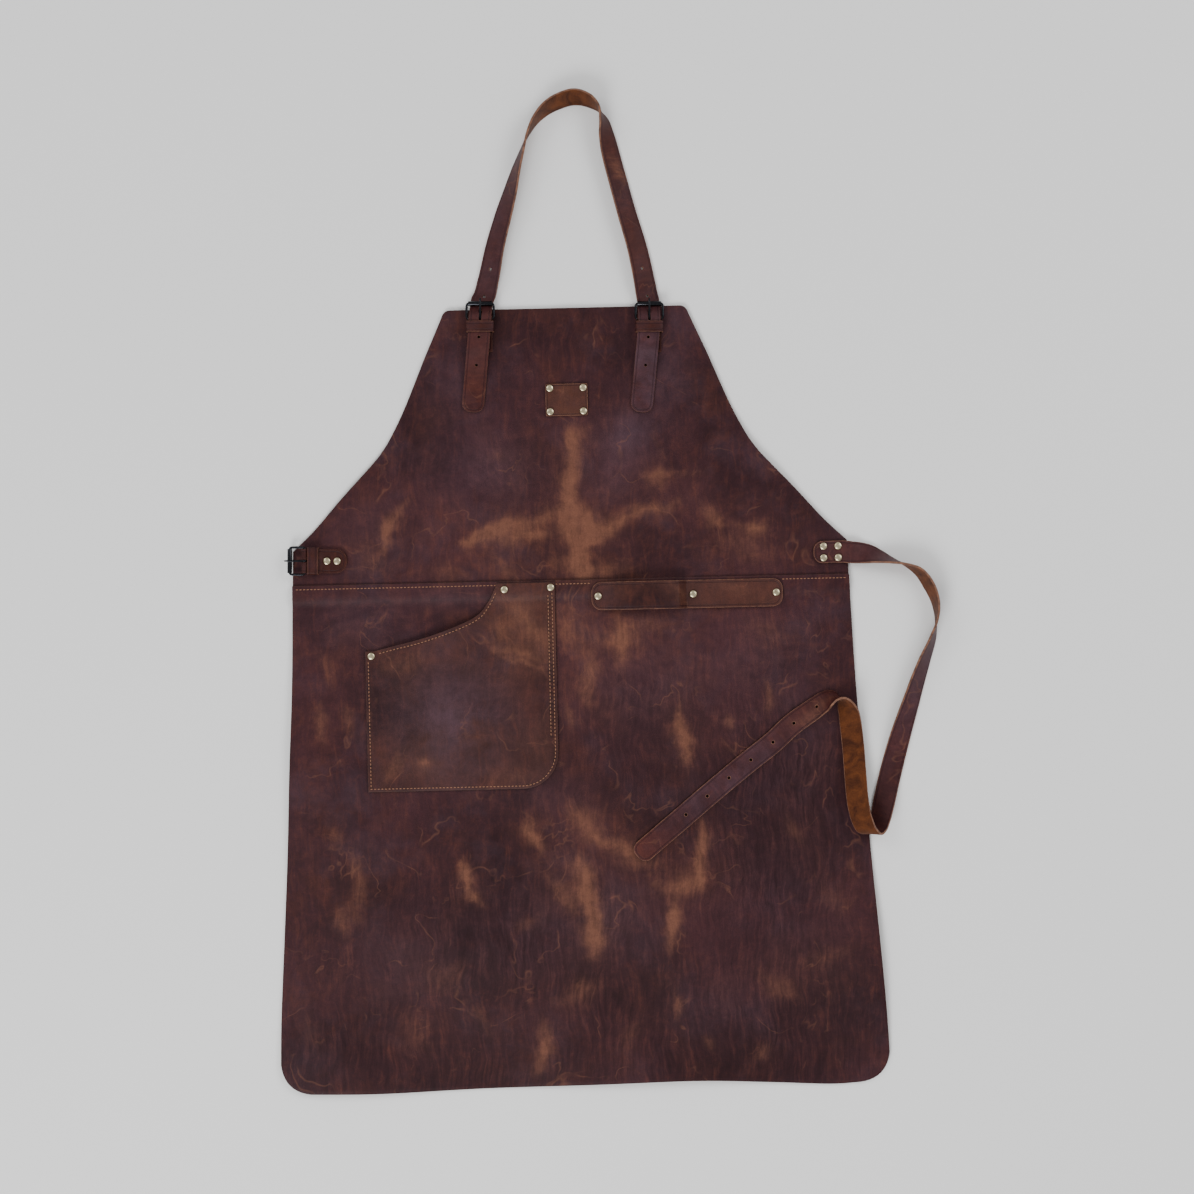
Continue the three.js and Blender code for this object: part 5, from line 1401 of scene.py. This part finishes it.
def make_keeper(name, node, place, room):
    half = TAB_WIDTH / 2 + GAP + KEEPER_THICK / 2
    low = GAP + KEEPER_THICK / 2
    high = low + room + KEEPER_THICK
    r = 1.6
    profile = filleted(
        [(0.0, low), (half, low, r), (half, high, r), (-half, high, r), (-half, low, r), (-0.05, low)]
    )
    strip = BentStrip(profile, place, bib_top(place.x, min(place.y, BIB_HEIGHT)))
    outline = rounded_box(0, -KEEPER_LENGTH / 2, strip.length, KEEPER_LENGTH, [0.3] * 4)
    piece = leather_piece(
        name, outline, [], 1.2, strip.turned, KEEPER_THICK, "pull_up_tab", soften=0.3
    )
    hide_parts(node)


def select_faces(piece, test):
    """In edit mode, selects the faces whose centre and normal pass the test."""
    shape = bmesh.from_edit_mesh(piece.data)
    for part in (*shape.verts, *shape.edges, *shape.faces):
        part.select = False
    for face in shape.faces:
        if test(face.calc_center_median(), face.normal):
            face.select_set(True)
    bmesh.update_edit_mesh(piece.data)


def settle(piece, place, ground, metal):
    """Puts a fitting that was made at the heel bar's place into the apron, in its mesh."""
    x, y = place.x, place.y
    turn = Matrix.Rotation(place.degrees * DEG, 4, "Z")
    move = Matrix.Translation(ORIGIN + Vector((x, y, ground)) * MM)
    piece.data.transform(move @ turn)
    piece.data.materials.clear()
    piece.data.materials.append(material_of(metal))
    make_active(piece)
    bpy.ops.object.shade_smooth_by_angle(angle=35 * DEG)
    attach(piece, "root")


def make_buckle(name, node, place):
    """A frame of round wire: a plate with rounded corners, opened, thickened and rounded."""
    ground = bib_top(place.x, min(place.y, BIB_HEIGHT))
    deselect_all()
    length = BUCKLE_SPAN + 2 * BAR_RADIUS
    bpy.ops.mesh.primitive_plane_add(size=1)
    piece = bpy.context.object
    piece.name = name
    piece.scale = (length * MM, BUCKLE_WIDTH * MM, 1)
    bpy.ops.object.transform_apply(location=False, rotation=False, scale=True)
    bpy.ops.object.mode_set(mode="EDIT")
    bpy.ops.mesh.select_all(action="SELECT")
    bpy.ops.mesh.bevel(offset=3.6 * MM, segments=5, affect="VERTICES")
    select_faces(piece, lambda centre, normal: True)
    bpy.ops.mesh.inset(thickness=BUCKLE_WIRE * MM)
    bpy.ops.mesh.delete(type="FACE")
    bpy.ops.mesh.select_all(action="SELECT")
    bpy.ops.mesh.extrude_region_move(TRANSFORM_OT_translate={"value": (0, 0, BUCKLE_WIRE * MM)})
    bpy.ops.mesh.select_all(action="SELECT")
    bpy.ops.mesh.normals_make_consistent(inside=False)
    bpy.ops.object.mode_set(mode="OBJECT")
    rounded = piece.modifiers.new("wire", "BEVEL")
    rounded.width = 0.85 * MM
    rounded.segments = 4
    rounded.limit_method = "ANGLE"
    rounded.angle_limit = 60 * DEG
    apply_modifiers(piece)
    shift = Vector((BUCKLE_SPAN / 2, 0, BAR_LIFT - BAR_RADIUS)) * MM
    piece.data.transform(Matrix.Translation(shift))

    # The roller that turns on the real buckle's front bar: a tube with turned-in ends, joined here into the frame.
    deselect_all()
    width = (BUCKLE_WIDTH - 2 * BUCKLE_WIRE - 0.4) * MM
    bpy.ops.mesh.primitive_cylinder_add(vertices=28, radius=ROLLER_RADIUS * MM, depth=width)
    roller = bpy.context.object
    bpy.ops.object.mode_set(mode="EDIT")
    select_faces(roller, lambda centre, normal: abs(normal.z) > 0.9)
    bpy.ops.mesh.inset(thickness=0.7 * MM)
    bpy.ops.transform.resize(value=(1, 1, 0.965))
    bpy.ops.object.mode_set(mode="OBJECT")
    lip = roller.modifiers.new("lips", "BEVEL")
    lip.width = 0.35 * MM
    lip.segments = 3
    lip.limit_method = "ANGLE"
    lip.angle_limit = 40 * DEG
    apply_modifiers(roller)
    roller.data.transform(Matrix.Rotation(math.pi / 2, 4, "X"))
    roller.data.transform(Matrix.Translation(Vector((BUCKLE_SPAN, 0, BAR_LIFT)) * MM))
    deselect_all()
    roller.select_set(True)
    piece.select_set(True)
    bpy.context.view_layer.objects.active = piece
    bpy.ops.object.join()
    settle(piece, place, ground, "black_nickel")
    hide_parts(node)


def make_prong(name, node, place):
    """The tongue: a bar drawn forward in steps, and the ring that holds it on the heel bar."""
    ground = bib_top(place.x, min(place.y, BIB_HEIGHT))
    rest = BAR_LIFT + ROLLER_RADIUS + GAP / 2 + 0.8
    tip = BUCKLE_SPAN + 5.6
    # How far forward, how high its middle lies, and how wide and deep it is.
    steps = [
        (1.4, BAR_LIFT + 1.7, 2.2, 1.5), (4.5, BAR_LIFT + 2.5, 2.1, 1.5), (10.5, rest - 0.5, 2.0, 1.5),
        (BUCKLE_SPAN, rest, 1.9, 1.4), (tip - 2.5, rest - 0.5, 1.7, 1.2), (tip, rest - 1.1, 1.3, 0.9),
    ]
    deselect_all()
    bpy.ops.mesh.primitive_cube_add(size=1 * MM)
    piece = bpy.context.object
    piece.name = name
    bpy.ops.object.mode_set(mode="EDIT")
    bpy.ops.mesh.select_all(action="SELECT")
    along, up, wide, deep = steps[0]
    bpy.ops.transform.resize(value=(1.0, wide, deep))
    bpy.ops.transform.translate(value=((along - 0.5) * MM, 0, up * MM))
    for (a0, u0, w0, d0), (a1, u1, w1, d1) in zip(steps, steps[1:]):
        front = max(v.co.x for v in bmesh.from_edit_mesh(piece.data).verts)
        select_faces(piece, lambda centre, normal: normal.x > 0.7 and centre.x > front - 0.4 * MM)
        bpy.ops.mesh.extrude_region_move(TRANSFORM_OT_translate={"value": ((a1 - a0) * MM, 0, (u1 - u0) * MM)})
        bpy.ops.transform.resize(value=(1, w1 / w0, d1 / d0), center_override=(a1 * MM, 0, u1 * MM))
    bpy.ops.object.mode_set(mode="OBJECT")
    soft = piece.modifiers.new("corners", "BEVEL")
    soft.width = 0.5 * MM
    soft.segments = 3
    soft.limit_method = "ANGLE"
    soft.angle_limit = 40 * DEG
    apply_modifiers(piece)
    deselect_all()
    bpy.ops.mesh.primitive_torus_add(
        major_radius=(BAR_RADIUS + 0.85) * MM, minor_radius=0.7 * MM, major_segments=28, minor_segments=12
    )
    ring = bpy.context.object
    ring.data.transform(Matrix.Scale(1.5, 4, Vector((0, 0, 1))))
    ring.data.transform(Matrix.Rotation(math.pi / 2, 4, "X"))
    ring.data.transform(Matrix.Translation(Vector((0, 0, BAR_LIFT)) * MM))
    deselect_all()
    ring.select_set(True)
    piece.select_set(True)
    bpy.context.view_layer.objects.active = piece
    bpy.ops.object.join()
    settle(piece, place, ground, "black_nickel")
    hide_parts(node)


NECK_ROOM = END_HEIGHTS["keeper"] + STRAP_THICK / 2 + 2 * GAP - KEEPER_THICK
SIDE_ROOM = TAB_OVER_KEEPER + TAB_TOTAL - KEEPER_THICK + STRAP_THICK + GAP
SETS = [
    ("neck", "_left", neck_places[0], NECK_TAB_LENGTH, 1.0, [NECK_RIVET_BACK], NECK_ROOM),
    ("neck", "_right", neck_places[1], NECK_TAB_LENGTH, 1.0, [NECK_RIVET_BACK], NECK_ROOM),
    (
        "side", "", side_place, SIDE_TAB_LENGTH, SIDE_TAB_ROUND,
        [SIDE_RIVET_FIRST, SIDE_RIVET_FIRST + SIDE_RIVET_PITCH], SIDE_ROOM,
    ),
]


class APRON_OT_tabs(bpy.types.Operator):
    """Fold the three tabs round their heel bars and close their keepers"""

    bl_idname = "apron.tabs"
    bl_label = "Tabs and keepers"

    def execute(self, context):
        for kind, side, place, length, rounding, backs, room in SETS:
            make_tab(f"{kind}_tab{side}_leather", f"{kind}_tab{side}", place, length, rounding, backs)
            make_keeper(f"{kind}_keeper{side}_leather", f"{kind}_keeper{side}", place, room)
        return {"FINISHED"}


class APRON_OT_buckles(bpy.types.Operator):
    """Make the three roller buckles and their prongs"""

    bl_idname = "apron.buckles"
    bl_label = "Buckles"

    def execute(self, context):
        for kind, side, place, *_ in SETS:
            make_buckle(f"{kind}_buckle{side}_wire", f"{kind}_buckle{side}", place)
            make_prong(f"{kind}_prong{side}_wire", f"{kind}_prong{side}", place)
        return {"FINISHED"}


class APRON_OT_rivets(bpy.types.Operator):
    """Dome one cap rivet and set a copy in every place"""

    bl_idname = "apron.rivets"
    bl_label = "Rivets"

    def execute(self, context):
        for node in RIVET_NODES:
            low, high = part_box(node)
            x, y = (low[0] + high[0]) / 2, (low[1] + high[1]) / 2
            hidden = node.startswith("neck")
            cap = (0.9 if hidden else CAP_HEIGHT) * MM
            make_rivet(f"{node}_cap", node, x, y, low[2], high[2], cap)
        return {"FINISHED"}


def make_rivet(name, node, x, y, low, high, cap):
    """A turned cap: a disc inset and raised ring by ring into a dome, a post and a back cap."""
    radius = CAP_RADIUS * MM
    deselect_all()
    skirt = cap * 0.35
    bpy.ops.mesh.primitive_cylinder_add(vertices=32, radius=radius, depth=skirt, location=(0, 0, high - cap + skirt / 2))
    piece = bpy.context.object
    piece.name = name
    bpy.ops.object.transform_apply(location=True, rotation=False, scale=False)
    bpy.ops.object.mode_set(mode="EDIT")
    # Each ring's radius and height, as shares of the cap's.
    rings = [(0.97, 0.5), (0.9, 0.64), (0.78, 0.79), (0.6, 0.9), (0.38, 0.97), (0.15, 1.0)]
    was_radius, was_up = 1.0, 0.35
    for share, up in rings:
        top = max(v.co.z for v in bmesh.from_edit_mesh(piece.data).verts)
        select_faces(piece, lambda centre, normal: normal.z > 0.9 and centre.z > top - 1e-6)
        bpy.ops.mesh.inset(thickness=(was_radius - share) * radius)
        bpy.ops.transform.translate(value=(0, 0, (up - was_up) * cap))
        was_radius, was_up = share, up
    bottom = min(v.co.z for v in bmesh.from_edit_mesh(piece.data).verts)
    select_faces(piece, lambda centre, normal: normal.z < -0.9 and centre.z < bottom + 1e-6)
    bpy.ops.mesh.inset(thickness=radius - POST_RADIUS * MM)
    back = low + BACK_HEIGHT * MM
    bpy.ops.mesh.extrude_region_move(TRANSFORM_OT_translate={"value": (0, 0, back - bottom)})
    bpy.ops.mesh.extrude_region_move(TRANSFORM_OT_translate={"value": (0, 0, 0)})
    bpy.ops.transform.resize(value=(BACK_RADIUS / POST_RADIUS, BACK_RADIUS / POST_RADIUS, 1), center_override=(0, 0, back))
    bpy.ops.mesh.extrude_region_move(TRANSFORM_OT_translate={"value": (0, 0, low - back)})
    bpy.ops.mesh.inset(thickness=0.4 * MM)
    bpy.ops.object.mode_set(mode="OBJECT")
    piece.data.transform(Matrix.Translation((x, y, 0)))
    piece.data.materials.clear()
    piece.data.materials.append(material_of("antique_nickel"))
    make_active(piece)
    bpy.ops.object.shade_smooth_by_angle(angle=35 * DEG)
    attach(piece, "root")
    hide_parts(node)


def walk(line, pitch):
    """Places and bearings at even distances along a line."""
    points = [Vector(p) for p in line]
    spans = [(b - a).length for a, b in zip(points, points[1:])]
    total = sum(spans)
    count = max(1, int(total / pitch))
    ends = np.concatenate([[0.0], np.cumsum(spans)])
    found = []
    for i in range(count):
        at = (i + 0.5) * total / count
        k = min(int(np.searchsorted(ends, at, side="right")) - 1, len(spans) - 1)
        way = (points[k + 1] - points[k]).normalized()
        found.append((points[k] + way * (at - ends[k]), math.atan2(way.y, way.x)))
    return found


def stitched(name, lines, height, over):
    """One stitch, made once and copied along the seams: a short dipped strand of thread."""
    look = bpy.context.scene.apron_hardware
    deselect_all()
    bpy.ops.mesh.primitive_uv_sphere_add(segments=8, ring_count=6, radius=look.stitch / 2)
    strand = bpy.context.object
    bpy.ops.object.mode_set(mode="EDIT")
    bpy.ops.mesh.select_all(action="SELECT")
    bpy.ops.transform.resize(value=(1.0, 0.42, 0.3))
    bpy.ops.object.mode_set(mode="OBJECT")
    shape = bmesh.new()
    seed = 0
    for line in lines:
        for spot, bearing in walk(line, look.pitch / MM):
            near = min(math.hypot(spot.x - rx, spot.y - ry) for rx, ry in RIVET_PLACES)
            if near < CAP_RADIUS + 1.2 or over(spot.x, spot.y):
                continue
            seed += 1
            slant = 5 * DEG * math.sin(seed * 12.9898)
            dx, dy = math.cos(bearing), math.sin(bearing)
            slope = math.atan2(height(spot.x + dx, spot.y + dy) - height(spot.x - dx, spot.y - dy), 2)
            z = height(spot.x, spot.y) + 0.1
            here = Matrix.Translation(ORIGIN + Vector((spot.x, spot.y, z)) * MM)
            turn = Matrix.Rotation(bearing + slant, 4, "Z") @ Matrix.Rotation(-slope, 4, "Y")
            first = len(shape.verts)
            shape.from_mesh(strand.data)
            shape.verts.ensure_lookup_table()
            bmesh.ops.transform(shape, matrix=here @ turn, verts=shape.verts[first:])
    mesh = bpy.data.meshes.new(name)
    shape.to_mesh(mesh)
    shape.free()
    bpy.data.objects.remove(strand)
    piece = bpy.data.objects.new(name, mesh)
    bpy.context.scene.collection.objects.link(piece)
    mesh.materials.append(material_of("waxed_linen"))
    make_active(piece)
    bpy.ops.object.shade_smooth()
    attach(piece, "root")


def under_band(x, y):
    in_loop = LOOP_LEFT < x < LOOP_LEFT + LOOP_LENGTH and y < LOOP_MIDDLE + LOOP_WIDTH / 2
    in_pocket = POCKET_LEFT + POCKET_MOUTH_WIDE < x < POCKET_RIGHT and y < POCKET_TOP
    return in_loop or in_pocket


class APRON_OT_stitching(bpy.types.Operator):
    """Sew the waist seam and the pocket"""

    bl_idname = "apron.stitching"
    bl_label = "Stitching"

    def execute(self, context):
        top = wrinkled(skirt_top)
        pocket = wrinkled(pocket_top)
        stitched("waist_seam_thread", [SEAM_LINE], top, under_band)
        stitched("pocket_thread", pocket_seams(), pocket, lambda x, y: False)
        return {"FINISHED"}


class APRON_OT_stage(bpy.types.Operator):
    """Set up the pale floor, the soft light and the camera straight above"""

    bl_idname = "apron.stage"
    bl_label = "Stage"

    def execute(self, context):
        look = context.scene.apron_studio
        deselect_all()
        bpy.ops.mesh.primitive_plane_add(size=14)
        floor = context.object
        floor.name = "floor"
        material, tree, shader = new_material("painted_floor")
        place = add_node(tree, "ShaderNodeTexCoord").outputs["Object"]
        mist = add_node(tree, "ShaderNodeTexNoise", Vector=place, Scale=3.0, Detail=2.0).outputs["Fac"]
        base = linear(look.floor)
        body = mixed(tree, mist, base, tuple(c * 0.985 for c in base[:3]) + (1,))
        tree.links.new(body, shader.inputs["Base Color"])
        shader.inputs["Roughness"].default_value = 0.9
        floor.data.materials.append(material)

        world = bpy.data.worlds.new("studio_air")
        context.scene.world = world
        world.use_nodes = True
        air = world.node_tree.nodes["Background"]
        air.inputs["Color"].default_value = (1, 1, 1, 1)
        air.inputs["Strength"].default_value = look.fill
        # Where each soft box stands, how wide it is, and its share of the power.
        lights = [((-1.1, -2.2, 2.2), 1.7, 1.0), ((2.3, 1.2, 2.3), 1.9, 0.6), ((-2.2, 1.6, 2.4), 1.9, 0.4)]
        for i, (spot, size, share) in enumerate(lights):
            lamp = bpy.data.lights.new(f"soft_box_{i + 1}", "AREA")
            lamp.shape = "DISK"
            lamp.size = size
            lamp.energy = look.light * share
            soft_box = bpy.data.objects.new(lamp.name, lamp)
            context.scene.collection.objects.link(soft_box)
            soft_box.location = spot
            soft_box.rotation_euler = (Vector((0, 0, 0)) - Vector(spot)).to_track_quat("-Z", "Y").to_euler()

        camera = bpy.data.cameras.new("camera")
        camera.lens = look.lens
        camera.sensor_width = 36
        eye = bpy.data.objects.new("camera", camera)
        context.scene.collection.objects.link(eye)
        # The photo takes in 1194 mm each way, and its middle lies here on the apron.
        middle = ORIGIN + Vector((25.95, -13.84, 0)) * MM
        away = 1.194 * look.lens / camera.sensor_width
        eye.location = (middle.x, middle.y, away + 4 * MM)
        eye.rotation_euler = (0, 0, look.turn)
        context.scene.camera = eye
        return {"FINISHED"}


OPERATORS = [
    APRON_OT_stage, APRON_OT_bib, APRON_OT_skirt, APRON_OT_pocket, APRON_OT_tool_loop,
    APRON_OT_label_patch, APRON_OT_neck_strap, APRON_OT_waist_strap, APRON_OT_tabs,
    APRON_OT_buckles, APRON_OT_rivets, APRON_OT_stitching,
]


class APRON_PT_panel(bpy.types.Panel):
    bl_idname = "APRON_PT_panel"
    bl_label = "Apron"
    bl_space_type = "VIEW_3D"
    bl_region_type = "UI"
    bl_category = "Apron"

    def draw(self, context):
        for operator in OPERATORS:
            self.layout.operator(operator.bl_idname)
        for group in ("apron_leather", "apron_hardware", "apron_studio"):
            settings = getattr(context.scene, group)
            for key in settings.__annotations__:
                self.layout.prop(settings, key)


GROUPS = {"apron_leather": LeatherLooks, "apron_hardware": HardwareLooks, "apron_studio": StudioLooks}


def register():
    for cls in (*GROUPS.values(), *OPERATORS, APRON_PT_panel):
        bpy.utils.register_class(cls)
    for name, group in GROUPS.items():
        setattr(bpy.types.Scene, name, bpy.props.PointerProperty(type=group))


def unregister():
    for name in GROUPS:
        delattr(bpy.types.Scene, name)
    for cls in (APRON_PT_panel, *OPERATORS[::-1], *GROUPS.values()):
        bpy.utils.unregister_class(cls)


def main():
    register()
    bpy.ops.apron.stage()
    bpy.ops.apron.bib()
    bpy.ops.apron.skirt()
    bpy.ops.apron.pocket()
    bpy.ops.apron.tool_loop()
    bpy.ops.apron.label_patch()
    bpy.ops.apron.neck_strap()
    bpy.ops.apron.waist_strap()
    bpy.ops.apron.tabs()
    bpy.ops.apron.buckles()
    bpy.ops.apron.rivets()
    bpy.ops.apron.stitching()


if __name__ == "__main__":
    main()
